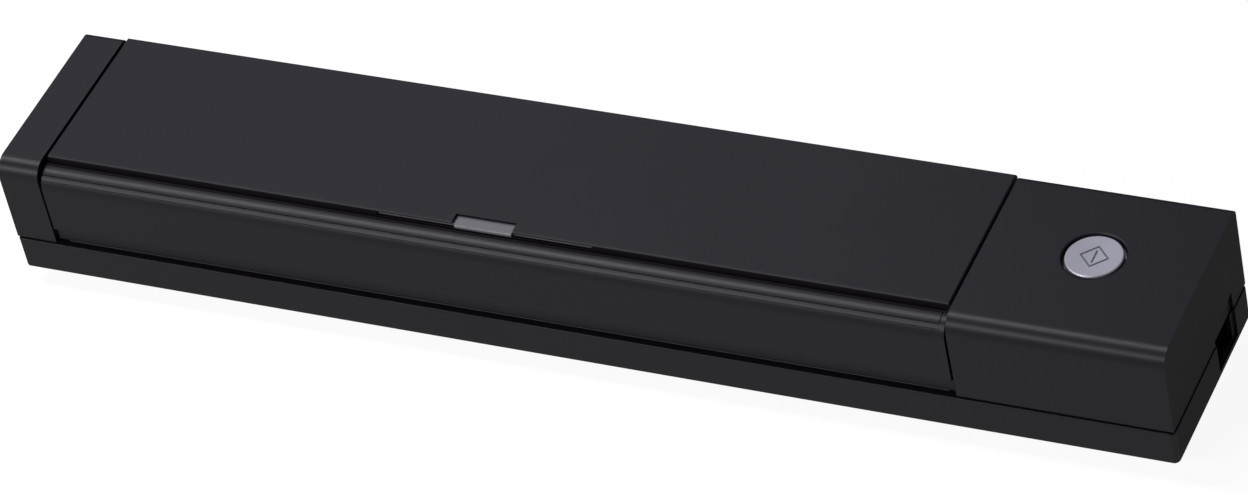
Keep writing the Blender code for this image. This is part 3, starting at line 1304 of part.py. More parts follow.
def document_guides(carriers):
    front = GUIDE_FRONT
    for name, side, carrier in zip(("left", "right"), (-1, 1), carriers):
        middle = fence_x(side)
        foot = [(front, ramp_height(front) + SLIDE_GAP), (GUIDE_BACK, ramp_height(GUIDE_BACK) + SLIDE_GAP),
                (GUIDE_BACK, ramp_height(GUIDE_BACK) + SLIDE_GAP + GUIDE_FOOT_THICKNESS),
                (front, ramp_height(front) + SLIDE_GAP + GUIDE_FOOT_THICKNESS)]
        bm = bmesh.new()
        near = middle - side * GUIDE_FENCE_THICKNESS / 2
        add_prism(bm, foot, *sorted((near - side * (GUIDE_FOOT_WIDTH - GUIDE_FENCE_THICKNESS),
                                     near + side * GUIDE_FENCE_THICKNESS)))
        guide = build(name + "_document_guide", bm, inner_plastic(), carrier)
        more = bmesh.new()
        fence_top = TRAY_BOTTOM - GUIDE_FENCE_GAP
        fence = [(y, z + GUIDE_FOOT_THICKNESS / 2) for y, z in foot[:2]]
        fence += [(GUIDE_BACK, fence_top), (front + GUIDE_FENCE_THICKNESS, fence_top),
                  (front, fence_top - GUIDE_FENCE_THICKNESS)]
        add_prism(more, fence, *sorted((near, near + side * GUIDE_FENCE_THICKNESS)))
        fuse(guide, more)
        tongue = bmesh.new()
        y = rack_middle(side)
        half = GUIDE_TONGUE / 2
        add_box(tongue, (middle - half, y - half, RACK_BOTTOM + RACK_THICKNESS / 2),
                (middle + half, y + half, ramp_height(y) + SLIDE_GAP + GUIDE_FOOT_THICKNESS / 2))
        fuse(guide, tongue)
        rack = bmesh.new()
        add_plate(rack, rack_outline(side), RACK_BOTTOM, RACK_TOP)
        fuse(guide, rack)


def rack_outline(side):
    start = fence_x(side) + side * GUIDE_TONGUE
    end = PANEL_CENTRE - side * RACK_END
    back = PINION_CENTRE[1] + side * RACK_BACK
    root = PINION_CENTRE[1] + side * RACK_ROOT
    tip = PINION_CENTRE[1] + side * RACK_TIP
    pitch = pi * RACK_MODULE
    foot_half = pitch / 2 * TOOTH_FOOT_SHARE - GEAR_BACKLASH
    crest_half = pitch / 2 * TOOTH_CREST_SHARE - GEAR_BACKLASH
    outline = [(start, back), (end, back), (end, root)]
    count = int((GUIDE_TRAVEL + RACK_END) / pitch)
    for i in range(count):
        x = PANEL_CENTRE + side * (pitch / 2 + (i - 1) * pitch)
        outline += [(x - side * foot_half, root), (x - side * crest_half, tip),
                    (x + side * crest_half, tip), (x + side * foot_half, root)]
    outline.append((start, root))
    return outline


def guide_pinion(carrier):
    bm = bmesh.new()
    outline = gear_outline(PINION_CENTRE, RACK_PINION_TEETH, pi / 2, RACK_MODULE)
    add_plate(bm, outline, RACK_BOTTOM, RACK_TOP)
    made = build("guide_pinion", bm, gear_plastic(), carrier)
    hole = bmesh.new()
    add_turned_z(hole, PINION_CENTRE, [(RACK_BOTTOM - OVERRUN, STUD_RADIUS + BUSH_BORE_GAP),
                                       (RACK_TOP + OVERRUN, STUD_RADIUS + BUSH_BORE_GAP)], SMALL_SEGMENTS)
    cut(made, hole)


# Feet and case screws
def feet():
    names = ("left_front", "left_rear", "right_front", "right_rear")
    for name, (x, y) in zip(names, FOOT_PLACES):
        half = (FOOT_LENGTH / 2, FOOT_WIDTH / 2)
        bm = bmesh.new()
        add_box(bm, (x - half[0], y - half[1], 0),
                (x + half[0], y + half[1], FOOT_RISE + FOOT_RECESS - FIT_GAP))
        build(name + "_foot", bm, rubber())


def case_screws():
    names = ("left_front", "left_rear", "right_front", "right_rear")
    for name, (x, y) in zip(names, SCREW_PLACES):
        head_bottom = FOOT_RISE + COUNTERBORE_DEPTH - SCREW_HOLE_GAP - SCREW_HEAD
        head_top = head_bottom + SCREW_HEAD
        bm = bmesh.new()
        add_turned_z(bm, (x, y), [(head_bottom, SCREW_HEAD_RADIUS), (head_top, SCREW_HEAD_RADIUS),
                                  (head_top, SCREW_RADIUS), (head_top + SCREW_LENGTH, SCREW_RADIUS)],
                     SMALL_SEGMENTS)
        build(name + "_case_screw", bm, steel(), smooth=True)


def main():
    clear_scene()
    tray = axis_empty("tray_axis", (PANEL_CENTRE, *TRAY_AXIS))
    extension = axis_empty("extension_axis", (PANEL_CENTRE, TRAY_FRONT, extension_level()))
    cover = axis_empty("cover_axis", (PANEL_CENTRE, *COVER_AXIS))
    pinch = axis_empty("pinch_axis", (PANEL_CENTRE, *PINCH_AXIS))
    feed = axis_empty("feed_axis", (PANEL_CENTRE, *FEED_AXIS))
    eject = axis_empty("eject_axis", (PANEL_CENTRE, *EJECT_AXIS))
    idler = axis_empty("idler_axis", (GEAR_START, *IDLER_AXIS))
    compound = axis_empty("compound_axis", (GEAR_START, *WHEEL_AXIS))
    pinion = axis_empty("motor_axis", (WHEEL_START, *MOTOR_AXIS))
    button = axis_empty("button_axis", (*BUTTON_PLACE, BUTTON_TOP))
    slider = axis_empty("slider_axis", (SLIDER_CENTRE, BASE_REAR, SLIDER_HEIGHT_LEVEL))
    guides = [axis_empty(side + "_guide_axis", (x, GUIDE_FRONT, RAMP_FRONT[1]))
              for side, x in (("left", fence_x(-1)), ("right", fence_x(1)))]
    rack_pinion = axis_empty("guide_pinion_axis", (*PINION_CENTRE, RACK_BOTTOM))

    base_casing()
    end_block("left_end_block", LEFT_SEAM, -UPPER_END)
    end_block("right_block_cover", RIGHT_SEAM, UPPER_END)
    rear_cover()
    tray_hinge_pins()
    side_plates()
    shaft_bushes()
    lower_paper_guide()
    image_sensors(cover)
    front_cover(cover)
    nose_strip(cover)
    cover_hinge_pins()
    front_inner_guide(cover)
    separation_pad(cover)
    rollers(feed, eject, pinch)
    gears(feed, eject, idler, compound, pinion)
    gear_bracket()
    drive_motor()
    boards()
    auto_start_switch(slider)
    start_button(button)
    feed_tray(tray)
    tray_extension(extension)
    document_guides(guides)
    guide_pinion(rack_pinion)
    feet()
    case_screws()


main()
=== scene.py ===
# The looks of a portable document scanner: finer shells, finishes, floor, lights and camera.
import json
from math import atan2, ceil, cos, pi, radians, sin, sqrt, tan

import bmesh
import bpy
from bpy.props import FloatProperty, FloatVectorProperty, PointerProperty
from mathutils import Matrix, Vector

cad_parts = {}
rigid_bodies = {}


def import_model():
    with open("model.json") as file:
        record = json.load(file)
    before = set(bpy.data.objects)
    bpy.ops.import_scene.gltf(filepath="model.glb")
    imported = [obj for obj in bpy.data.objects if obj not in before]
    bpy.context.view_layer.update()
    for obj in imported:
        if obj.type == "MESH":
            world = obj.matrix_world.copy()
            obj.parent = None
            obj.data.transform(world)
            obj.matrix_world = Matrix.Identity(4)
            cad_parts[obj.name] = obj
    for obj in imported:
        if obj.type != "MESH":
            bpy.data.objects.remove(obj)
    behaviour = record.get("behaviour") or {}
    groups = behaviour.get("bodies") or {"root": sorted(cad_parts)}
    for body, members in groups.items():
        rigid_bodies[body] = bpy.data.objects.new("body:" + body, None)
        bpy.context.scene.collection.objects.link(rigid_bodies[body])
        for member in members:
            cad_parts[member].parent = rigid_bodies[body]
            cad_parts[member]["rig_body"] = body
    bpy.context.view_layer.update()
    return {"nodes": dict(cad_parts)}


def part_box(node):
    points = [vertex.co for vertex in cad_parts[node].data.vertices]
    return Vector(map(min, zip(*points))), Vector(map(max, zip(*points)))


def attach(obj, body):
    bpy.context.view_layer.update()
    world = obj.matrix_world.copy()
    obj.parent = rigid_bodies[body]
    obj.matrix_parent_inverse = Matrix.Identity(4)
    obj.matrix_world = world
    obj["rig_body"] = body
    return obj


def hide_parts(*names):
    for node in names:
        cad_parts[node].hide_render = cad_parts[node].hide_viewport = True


bl_info = {
    "name": "Document scanner finish",
    "version": (1, 0),
    "blender": (4, 5, 0),
    "location": "3D View > Sidebar > Scanner",
    "description": "Builds the shells, finishes and photo stage of a portable document scanner",
    "category": "Object",
}

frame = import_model()

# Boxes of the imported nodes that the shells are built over
BASE_LOW, BASE_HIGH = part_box("base_casing")
LEFT_LOW, LEFT_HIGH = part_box("left_end_block")
RIGHT_LOW, RIGHT_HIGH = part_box("right_block_cover")
COVER_LOW, COVER_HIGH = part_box("front_cover")
STRIP_LOW, STRIP_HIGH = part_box("nose_strip")
BUTTON_LOW, BUTTON_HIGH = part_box("start_button")
BODY_TOP = RIGHT_HIGH.z
UPPER_FRONT = RIGHT_LOW.y
UPPER_REAR = RIGHT_HIGH.y
SEAM_HEIGHT = BASE_HIGH.z
BUTTON_CENTRE = (BUTTON_LOW + BUTTON_HIGH) / 2
CORNERS = ("left_front", "left_rear", "right_front", "right_rear")

# The end blocks reach this much lower than the front cover
BLOCK_DROP = 0.0002
UPPER_BOTTOM = COVER_LOW.z - BLOCK_DROP

# Clearances and cutting allowances
MERGE = 0.000001
OVERRUN = 0.0020
FIT_GAP = 0.0003
FLAT_ANGLE = radians(0.5)
SHARP_ANGLE = radians(32)
ARC_ANGLE = radians(6)
EDGE_SEGMENTS = 2

# Start button: its radii, and how deep the undersides of its cap and its flange lie
BUTTON_RADIUS = 0.0072
STEM_RADIUS = 0.0018
CAP_DEPTH = 0.0021
FLANGE_DEPTH = 0.0029
BUTTON_STEPS = 128
DISH_RINGS = 8

# Share of the button's rim that is rounded, and how deep in its dish the symbol starts
RIM_SHARE = 0.8
INLAY_SHARE = 0.9

# Nose strip: its thickness, and the gap at either end of its arc
STRIP_THICKNESS = 0.00075
STRIP_GAP = 0.00010

# Lower casing: how far the slider's flange reaches past its knob, and the screws' counterbores
SLIDER_SIDE = 0.0020
SLIDER_RISE = 0.0010
COUNTERBORE = 0.0011

# Corners of the port's recess, and the height at a block's foot that its end rounding leaves out
RECESS_ROUND = 0.0003
FOOT_BAND = 0.0010

# Studio lights, all turned to one point: place, length and depth, and tint
LIGHT_AIM = (0, 0, 0.02)
OVERHEAD_LIGHT = ((-0.48, 0.00, 1.13), (0.8, 0.14), (1.0, 1.0, 1.0))
FRONT_LIGHT = ((-0.50, -0.95, 0.62), (0.8, 0.17), (1.0, 1.0, 1.0))
REAR_LIGHT = ((-0.72, 0.98, 1.02), (0.8, 0.7), (0.82, 0.84, 1.0))
AMBIENT_TINT = (0.96, 0.97, 1.0, 1.0)

# Camera: the width of its frame in millimetres, and the nearest and farthest that it sees
FRAME_WIDTH = 36.0
CLIP_START = 0.05
CLIP_END = 20.0


def length(name, description, default):
    return FloatProperty(name=name, description=description, default=default, unit="LENGTH", precision=5)


def angle(name, description, default):
    return FloatProperty(name=name, description=description, default=radians(default), subtype="ANGLE")


def colour(name, description, default):
    return FloatVectorProperty(name=name, description=description, default=default, subtype="COLOR",
                               size=3, min=0.0, max=1.0)


def factor(name, description, default):
    return FloatProperty(name=name, description=description, default=default, subtype="FACTOR",
                         min=0.0, max=1.0)


def number(name, description, default):
    return FloatProperty(name=name, description=description, default=default)


class ScannerShells(bpy.types.PropertyGroup):
    """Sizes of the outer shells."""
    front_round: length("Front rounding", "Radius of the long rounded front edge", 0.0048)
    rear_round: length("Rear rounding", "Radius of the long rear edge", 0.0020)
    end_round: length("End rounding", "Radius of the edges round the two ends", 0.0010)
    corner_round: length("Corner rounding", "Radius of the lower casing's upright corners", 0.0015)
    edge_round: length("Moulded edge", "Radius of the small edges of the mouldings", 0.00025)
    seam_bevel: length("Seam bevel", "Bevel of the lower casing along the seam", 0.00040)
    rim_height: length("Rim height", "Height at which the underside starts to draw in", 0.0054)
    under_inset: length("Underside inset", "How far the underside is drawn in", 0.0050)
    casing_wall: length("Casing wall", "Wall of the lower casing", 0.0020)
    block_wall: length("Block wall", "Wall of the end blocks", 0.0018)
    strip_angle: angle("Strip angle", "Share of the nose that the separate strip takes", 38)
    groove_angle: angle("Groove angle", "Where the second line runs along the nose", 55)
    groove_radius: length("Groove radius", "Half the width of the line along the nose", 0.00016)
    fine_edge: length("Fine edge", "Rounding of the sharp edges of casings and cover", 0.00012)
    plate_edge: length("Plate edge", "Rounding of the edges of tray, extension and nose strip", 0.00010)
    inner_edge: length("Inner edge", "Rounding of the edges of inner parts", 0.00008)


class ScannerDetails(bpy.types.PropertyGroup):
    """Sizes of the button, its well and symbol, the port and the feet."""
    well_gap: length("Well gap", "Gap between the button and its well", 0.00055)
    well_round: length("Well rounding", "Rounding of the well's upper edge", 0.00055)
    button_rim: length("Button rim", "Width of the bright rim round the button", 0.00050)
    button_dish: length("Button dish", "Depth of the shallow dish in the button", 0.00012)
    symbol_half: length("Symbol size", "Half the diagonal of the start symbol", 0.0037)
    symbol_line: length("Symbol line", "Width of the symbol's lines", 0.00034)
    symbol_slash: length("Symbol bar", "Length of the bar inside the symbol", 0.0041)
    port_width: length("Port width", "Width of the port opening", 0.0104)
    port_from_rear: length("Port place", "From the rear of the upper casing to the port's middle", 0.0161)
    port_bottom: length("Port bottom", "Height of the port opening's lower edge", 0.0076)
    recess_depth: length("Recess depth", "Depth of the stepped recess round the port", 0.0006)
    recess_margin: length("Recess margin", "Width of the recess in front of and below the port", 0.0008)
    recess_rear: length("Recess rear margin", "Width of the recess behind the port", 0.0020)
    recess_top: length("Recess top", "Height of the recess at its rear end", 0.0206)
    foot_round: length("Foot rounding", "Rounding of the rubber feet", 0.0010)


class ScannerFinish(bpy.types.PropertyGroup):
    """Colours and gloss of the finishes."""
    casing: colour("Casing", "Moulded black plastic of the outer shells", (0.0046, 0.0036, 0.0056))
    inner: colour("Inner parts", "Matte plastic of the frame and guides", (0.016, 0.016, 0.018))
    tab: colour("Extension", "Grey plastic of the tray extension", (0.080, 0.076, 0.086))
    silver: colour("Button", "Silver paint of the start button", (0.235, 0.228, 0.255))
    symbol: colour("Symbol", "Ink of the start symbol", (0.055, 0.055, 0.065))
    rubber: colour("Rubber", "Rollers, pad and feet", (0.030, 0.030, 0.032))
    steel: colour("Steel", "Shafts, pins and screws", (0.56, 0.56, 0.57))
    acetal: colour("Gears", "Natural acetal of gears and bushes", (0.66, 0.64, 0.58))
    board: colour("Boards", "Solder mask of the boards", (0.012, 0.085, 0.035))
    glass: colour("Sensor glass", "Dark glass of the image sensors", (0.010, 0.013, 0.013))
    casing_gloss: factor("Casing roughness", "Roughness of the outer shells", 0.40)
    casing_shine: factor("Casing reflection", "Specular level of the outer shells", 0.14)
    grain: length("Grain", "Size of the moulded grain", 0.00035)
    grain_depth: length("Grain depth", "Depth of the moulded grain", 0.000010)


class ScannerStage(bpy.types.PropertyGroup):
    """The photo's camera, its floor and its lights."""
    azimuth: angle("Azimuth", "Camera's turn to the right of straight in front", 31.854)
    elevation: angle("Elevation", "Camera's angle above the horizon", 41.375)
    roll: angle("Roll", "Camera's turn about its own axis", -13.012)
    distance: length("Distance", "From the camera to the point it looks at", 1.4268)
    target_x: length("Target X", "Point that the camera looks at, along the body", 0.003072)
    target_z: length("Target Z", "Point that the camera looks at, above the floor", 0.01784)
    lens: number("Focal length", "In millimetres, on a frame 36 mm wide", 166.92)
    floor_size: length("Floor size", "Side of the square floor", 6.0)
    floor_colour: colour("Floor", "Pale floor", (0.90, 0.90, 0.90))
    floor_glow: factor("Floor glow", "How much of the floor's look is its own white", 0.92)
    overhead: number("Overhead light", "Power of the long light over the body, in watts", 15.0)
    front: number("Front light", "Power of the light in front of the body, in watts", 12.0)
    rear: number("Rear light", "Power of the wide light behind the body, in watts", 4.6)
    ambient: number("Ambient light", "Strength of the even light all round", 0.20)


# Outlines: corners with a radius become arcs
def arc_points(centre, radius, start, turn):
    steps = max(3, ceil(abs(turn) / ARC_ANGLE))
    angles = [start + turn * i / steps for i in range(steps + 1)]
    return [(centre[0] + radius * cos(a), centre[1] + radius * sin(a)) for a in angles]


def rounded_outline(corners):
    """The closed outline through the corners (a, b, radius), with each corner rounded by its radius."""
    outline = []
    for i, (a, b, radius) in enumerate(corners):
        here = Vector((a, b))
        if radius == 0:
            outline.append((a, b))
            continue
        back = (Vector(corners[i - 1][:2]) - here).normalized()
        ahead = (Vector(corners[(i + 1) % len(corners)][:2]) - here).normalized()
        half = back.angle(ahead) / 2
        reach = radius / tan(half)
        centre = here + (back + ahead).normalized() * radius / sin(half)
        first = here + back * reach - centre
        last = here + ahead * reach - centre
        start = atan2(first.y, first.x)
        turn = (atan2(last.y, last.x) - start + pi) % (2 * pi) - pi
        outline += arc_points(centre, radius, start, turn)
    return outline


def quarter(steps):
    """Angles from 0 to a quarter turn."""
    return [pi / 2 * i / steps for i in range(steps + 1)]


# Meshes
def prism(points, start, end, axis="x"):
    """A closed solid: the outline as one face, extruded along X or Z."""
    bm = bmesh.new()
    if axis == "x":
        corners = [(start, a, b) for a, b in points]
        way = Vector((end - start, 0, 0))
    else:
        corners = [(a, b, start) for a, b in points]
        way = Vector((0, 0, end - start))
    face = bm.faces.new([bm.verts.new(corner) for corner in corners])
    grown = bmesh.ops.extrude_face_region(bm, geom=[face])
    moved = [item for item in grown["geom"] if isinstance(item, bmesh.types.BMVert)]
    bmesh.ops.translate(bm, verts=moved, vec=way)
    bmesh.ops.recalc_face_normals(bm, faces=bm.faces)
    return bm


def block(low, high):
    """A closed box between two corners."""
    bm = bmesh.new()
    size = Vector(high) - Vector(low)
    middle = (Vector(high) + Vector(low)) / 2
    matrix = Matrix.Translation(middle) @ Matrix.Diagonal((*size, 1.0))
    bmesh.ops.create_cube(bm, size=1.0, matrix=matrix)
    return bm


def turned(profile, centre, axis, steps=96):
    """A closed solid spun from (along, radius) stations about an axis through a point."""
    bm = bmesh.new()
    along = Vector(axis)
    aside = Vector((0, 1, 0)) if abs(along.y) < 0.5 else Vector((0, 0, 1))
    verts = [bm.verts.new(Vector(centre) + along * at + aside * radius) for at, radius in profile]
    edges = [bm.edges.new(pair) for pair in zip(verts, verts[1:])]
    bmesh.ops.spin(bm, geom=verts + edges, cent=centre, axis=along, angle=2 * pi, steps=steps,
                   use_merge=True)
    bmesh.ops.remove_doubles(bm, verts=bm.verts, dist=MERGE)
    bmesh.ops.holes_fill(bm, edges=bm.edges, sides=0)
    bmesh.ops.recalc_face_normals(bm, faces=bm.faces)
    return bm


def rod(centre, radius, start, end, axis="x"):
    """A plain round cutter along X or Z."""
    if axis == "x":
        place, way = (0, centre[0], centre[1]), (1, 0, 0)
    else:
        place, way = (centre[0], centre[1], 0), (0, 0, 1)
    return turned([(start, 0), (start, radius), (end, radius), (end, 0)], place, way, steps=48)


def round_edges(bm, edges, width, segments):
    bmesh.ops.bevel(bm, geom=edges, offset=width, offset_type="OFFSET", affect="EDGES",
                    segments=segments, profile=0.5, material=-1, clamp_overlap=True)


def edges_in_plane(bm, axis, place):
    """The edges whose two ends both lie at a place along an axis."""
    return [e for e in bm.edges if all(abs(v.co[axis] - place) < MERGE for v in e.verts)]


def as_object(name, bm):
    mesh = bpy.data.meshes.new(name)
    bm.to_mesh(mesh)
    bm.free()
    made = bpy.data.objects.new(name, mesh)
    bpy.context.scene.collection.objects.link(made)
    return made


def reshape(piece, bm, operation="DIFFERENCE"):
    """Cuts a shape out of a piece, or adds it, and keeps the result as the piece's own mesh."""
    tool = as_object("tool", bm)
    change = piece.modifiers.new("reshape", "BOOLEAN")
    change.operation = operation
    change.solver = "EXACT"
    change.object = tool
    bpy.context.view_layer.update()
    evaluated = piece.evaluated_get(bpy.context.evaluated_depsgraph_get())
    fresh = bpy.data.meshes.new_from_object(evaluated)
    piece.modifiers.clear()
    old = piece.data
    piece.data = fresh
    fresh.name = piece.name
    bpy.data.meshes.remove(old)
    bpy.data.objects.remove(tool, do_unlink=True)


def finish_piece(piece, body, material, nodes=(), edge=0.0):
    """Merges and smooths a piece, gives it its edge rounding and finish, and hangs it on its body."""
    bm = bmesh.new()
    bm.from_mesh(piece.data)
    bmesh.ops.remove_doubles(bm, verts=bm.verts, dist=MERGE)
    bmesh.ops.dissolve_limit(bm, angle_limit=FLAT_ANGLE, verts=bm.verts, edges=bm.edges)
    if any(not e.is_manifold for e in bm.edges):
        raise RuntimeError(piece.name + " isn't closed")
    bm.to_mesh(piece.data)
    bm.free()
    piece.data.shade_smooth()
    piece.data.set_sharp_from_angle(angle=SHARP_ANGLE)
    if edge > 0:
        bevel = piece.modifiers.new("edges", "BEVEL")
        bevel.width = edge
        bevel.segments = EDGE_SEGMENTS
        bevel.limit_method = "ANGLE"
        bevel.angle_limit = SHARP_ANGLE
        bevel.use_clamp_overlap = True
        bevel.harden_normals = True
    even = piece.modifiers.new("normals", "WEIGHTED_NORMAL")
    even.keep_sharp = True
    even.weight = 100
    piece.data.materials.clear()
    piece.data.materials.append(material)
    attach(piece, body)
    if nodes:
        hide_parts(*nodes)


def copy_of_node(node, suffix="_fine"):
    """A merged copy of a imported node, for pieces whose shape is already right."""
    bm = bmesh.new()
    bm.from_mesh(frame["nodes"][node].data)
    bmesh.ops.remove_doubles(bm, verts=bm.verts, dist=MERGE)
    return as_object(node + suffix, bm)


# Shader graphs written as expressions
class Term:
    """One output of a shader graph that takes part in Python arithmetic."""

    def __init__(self, graph, socket):
        self.graph = graph
        self.socket = socket

    def __add__(self, other):
        return self.graph.math("ADD", self, other)

    def __sub__(self, other):
        return self.graph.math("SUBTRACT", self, other)

    def __mul__(self, other):
        return self.graph.math("MULTIPLY", self, other)

    __radd__ = __add__

    def swing(self, amount):
        """A value from 0 to 1 as a change of up to half the amount to either side."""
        return (self - 0.5) * amount


class Graph:
    """A material's node tree, filled by expressions."""

    def __init__(self, name):
        self.material = bpy.data.materials.new(name)
        self.material.use_nodes = True
        self.tree = self.material.node_tree
        self.tree.nodes.clear()
        self.place = self.node("ShaderNodeTexCoord", output="Object")

    def feed(self, socket, value):
        if isinstance(value, Term):
            self.tree.links.new(value.socket, socket)
        elif socket.type == "RGBA" and len(value) == 3:
            socket.default_value = (*value, 1.0)
        else:
            socket.default_value = value

    def node(self, kind, settings=None, sockets=None, output=0):
        made = self.tree.nodes.new(kind)
        for name, value in (settings or {}).items():
            if name == "stops":
                for element, (position, grey) in zip(made.color_ramp.elements, value):
                    element.position = position
                    element.color = (grey, grey, grey, 1.0)
            else:
                setattr(made, name, value)
        for name, value in (sockets or {}).items():
            self.feed(made.inputs[name], value)
        return Term(self, made.outputs[output]) if len(made.outputs) else made

    def math(self, operation, a, b):
        return self.node("ShaderNodeMath", {"operation": operation}, {0: a, 1: b})

    def noise(self, size, detail=2.0, roughness=0.5, stretch=(1, 1, 1)):
        place = self.node("ShaderNodeMapping", None, {"Vector": self.place, "Scale": stretch}, "Vector")
        return self.node("ShaderNodeTexNoise", None, {
            "Vector": place, "Scale": 1 / size, "Detail": detail, "Roughness": roughness,
        }, "Fac")

    def mix(self, share, first, second):
        return self.node("ShaderNodeMix", {"data_type": "RGBA"}, {0: share, 6: first, 7: second}, 2)

    def ramp(self, value, low, high):
        """Stretches a value so that low becomes 0 and high becomes 1."""
        return self.node("ShaderNodeValToRGB", {"stops": ((low, 0.0), (high, 1.0))}, {"Fac": value})

    def bump(self, height, depth):
        return self.node("ShaderNodeBump", None, {"Height": height, "Distance": depth, "Strength": 1.0})

    def surface(self, shader):
        self.node("ShaderNodeOutputMaterial", None, {"Surface": shader})
        return self.material

    def principled(self, **sockets):
        named = {name.replace("_", " "): value for name, value in sockets.items()}
        return self.surface(self.node("ShaderNodeBsdfPrincipled", None, named))


def shade(base, share):
    return tuple(channel * share for channel in base)


def moulded_plastic(name, base, roughness, shine, grain, depth):
    """Spark-textured moulding: fine grain, slow patches of gloss, a little dust, less gloss at a slant."""
    graph = Graph(name)
    fine = graph.noise(size=grain, detail=3.0, roughness=0.6)
    slow = graph.noise(size=0.045, detail=2.0)
    dust = graph.ramp(graph.noise(size=0.0011, detail=4.0, roughness=0.7), low=0.66, high=0.80)
    body = graph.mix(dust * 0.10, graph.mix(slow, shade(base, 0.90), shade(base, 1.12)), shade(base, 2.2))
    relief = graph.bump(fine, depth)
    gloss = graph.node("ShaderNodeBsdfPrincipled", None, {
        "Base Color": body,
        "Roughness": roughness + fine.swing(0.10) + slow.swing(0.08) + dust * 0.03,
        "Specular IOR Level": shine,
        "Normal": relief,
    })
    matte = graph.node("ShaderNodeBsdfDiffuse", None, {"Color": body, "Normal": relief})
    grazing = graph.node("ShaderNodeLayerWeight", None, {"Blend": 0.5}, "Facing")
    share = graph.ramp(grazing, low=0.30, high=0.68) * 0.8
    return graph.surface(graph.node("ShaderNodeMixShader", None, {0: share, 1: gloss, 2: matte}))


def silver_paint(name, base):
    """Satin metallic paint with fine flake and a faint polish."""
    graph = Graph(name)
    flake = graph.noise(size=0.00012, detail=2.0, roughness=0.7)
    slow = graph.noise(size=0.006, detail=2.0)
    return graph.principled(
        Base_Color=graph.mix(slow, shade(base, 0.95), shade(base, 1.05)),
        Roughness=0.34 + flake.swing(0.12),
        Metallic=0.55,
        Specular_IOR_Level=0.5,
        Normal=graph.bump(flake, depth=0.000004),
    )


def ink(name, base):
    graph = Graph(name)
    spread = graph.noise(size=0.00015, detail=3.0, roughness=0.7)
    return graph.principled(
        Base_Color=graph.mix(spread, shade(base, 0.8), shade(base, 1.25)),
        Roughness=0.55 + spread.swing(0.10),
        Specular_IOR_Level=0.3,
    )


def rubber(name, base):
    """Moulded rubber: fine pores and a pale bloom."""
    graph = Graph(name)
    pores = graph.noise(size=0.0004, detail=4.0, roughness=0.65)
    bloom = graph.noise(size=0.012, detail=3.0)
    return graph.principled(
        Base_Color=graph.mix(graph.ramp(bloom, low=0.35, high=0.75), base, shade(base, 1.7)),
        Roughness=0.78 + pores.swing(0.14),
        Specular_IOR_Level=0.3,
        Normal=graph.bump(pores, depth=0.00003),
    )


def brushed_steel(name, base, along):
    """Drawn or rolled steel with fine lines along one direction."""
    graph = Graph(name)
    lines = graph.noise(size=0.0006, detail=4.0, roughness=0.6, stretch=along)
    slow = graph.noise(size=0.02, detail=2.0)
    return graph.principled(
        Base_Color=graph.mix(lines, shade(base, 0.86), shade(base, 1.08)),
        Roughness=0.26 + lines.swing(0.16) + slow.swing(0.08),
        Metallic=1.0,
        Normal=graph.bump(lines, depth=0.000004),
    )


def acetal(name, base):
    graph = Graph(name)
    haze = graph.noise(size=0.004, detail=3.0)
    fine = graph.noise(size=0.0003, detail=2.0)
    return graph.principled(
        Base_Color=graph.mix(haze, shade(base, 0.92), shade(base, 1.04)),
        Roughness=0.38 + fine.swing(0.08),
        Specular_IOR_Level=0.4,
        Normal=graph.bump(fine, depth=0.000006),
    )


def solder_mask(name, base):
    """Green board with paler copper tracks under the mask."""
    graph = Graph(name)
    cells = graph.node("ShaderNodeTexBrick", None, {
        "Vector": graph.place, "Scale": 160.0, "Mortar Size": 0.035,
        "Color1": (0, 0, 0), "Color2": (0, 0, 0), "Mortar": (1, 1, 1),
    }, "Fac")
    fine = graph.noise(size=0.0008, detail=3.0)
    return graph.principled(
        Base_Color=graph.mix(cells, shade(base, 0.8), shade(base, 2.0)),
        Roughness=0.32 + fine.swing(0.12),
        Normal=graph.bump(cells, depth=0.00002),
    )


def dark_glass(name, base):
    graph = Graph(name)
    smears = graph.noise(size=0.010, detail=4.0, roughness=0.6, stretch=(0.3, 1, 1))
    return graph.principled(
        Base_Color=graph.mix(smears, shade(base, 0.9), shade(base, 1.2)),
        Roughness=0.04 + smears * 0.05,
        Specular_IOR_Level=0.5,
    )


FINISHES = {}


def make_finishes(settings):
    FINISHES["casing"] = moulded_plastic("casing_plastic", settings.casing, settings.casing_gloss,
                                         settings.casing_shine, settings.grain, settings.grain_depth)
    FINISHES["inner"] = moulded_plastic("inner_plastic", settings.inner, roughness=0.52, shine=0.35,
                                        grain=0.0005, depth=0.000015)
    FINISHES["tab"] = moulded_plastic("extension_plastic", settings.tab, roughness=0.48, shine=0.35,
                                      grain=0.0004, depth=0.00001)
    FINISHES["silver"] = silver_paint("button_silver", settings.silver)
    FINISHES["symbol"] = ink("symbol_ink", settings.symbol)
    FINISHES["rubber"] = rubber("rubber", settings.rubber)
    FINISHES["shaft"] = brushed_steel("drawn_steel", settings.steel, along=(0.02, 1, 1))
    FINISHES["sheet"] = brushed_steel("rolled_steel", settings.steel, along=(1, 0.04, 1))
    FINISHES["acetal"] = acetal("acetal", settings.acetal)
    FINISHES["board"] = solder_mask("solder_mask", settings.board)
    FINISHES["glass"] = dark_glass("sensor_glass", settings.glass)


# Port opening and its stepped recess, cut out of both casings
def port_span(details):
    middle = UPPER_REAR - details.port_from_rear
    return middle - details.port_width / 2, middle + details.port_width / 2


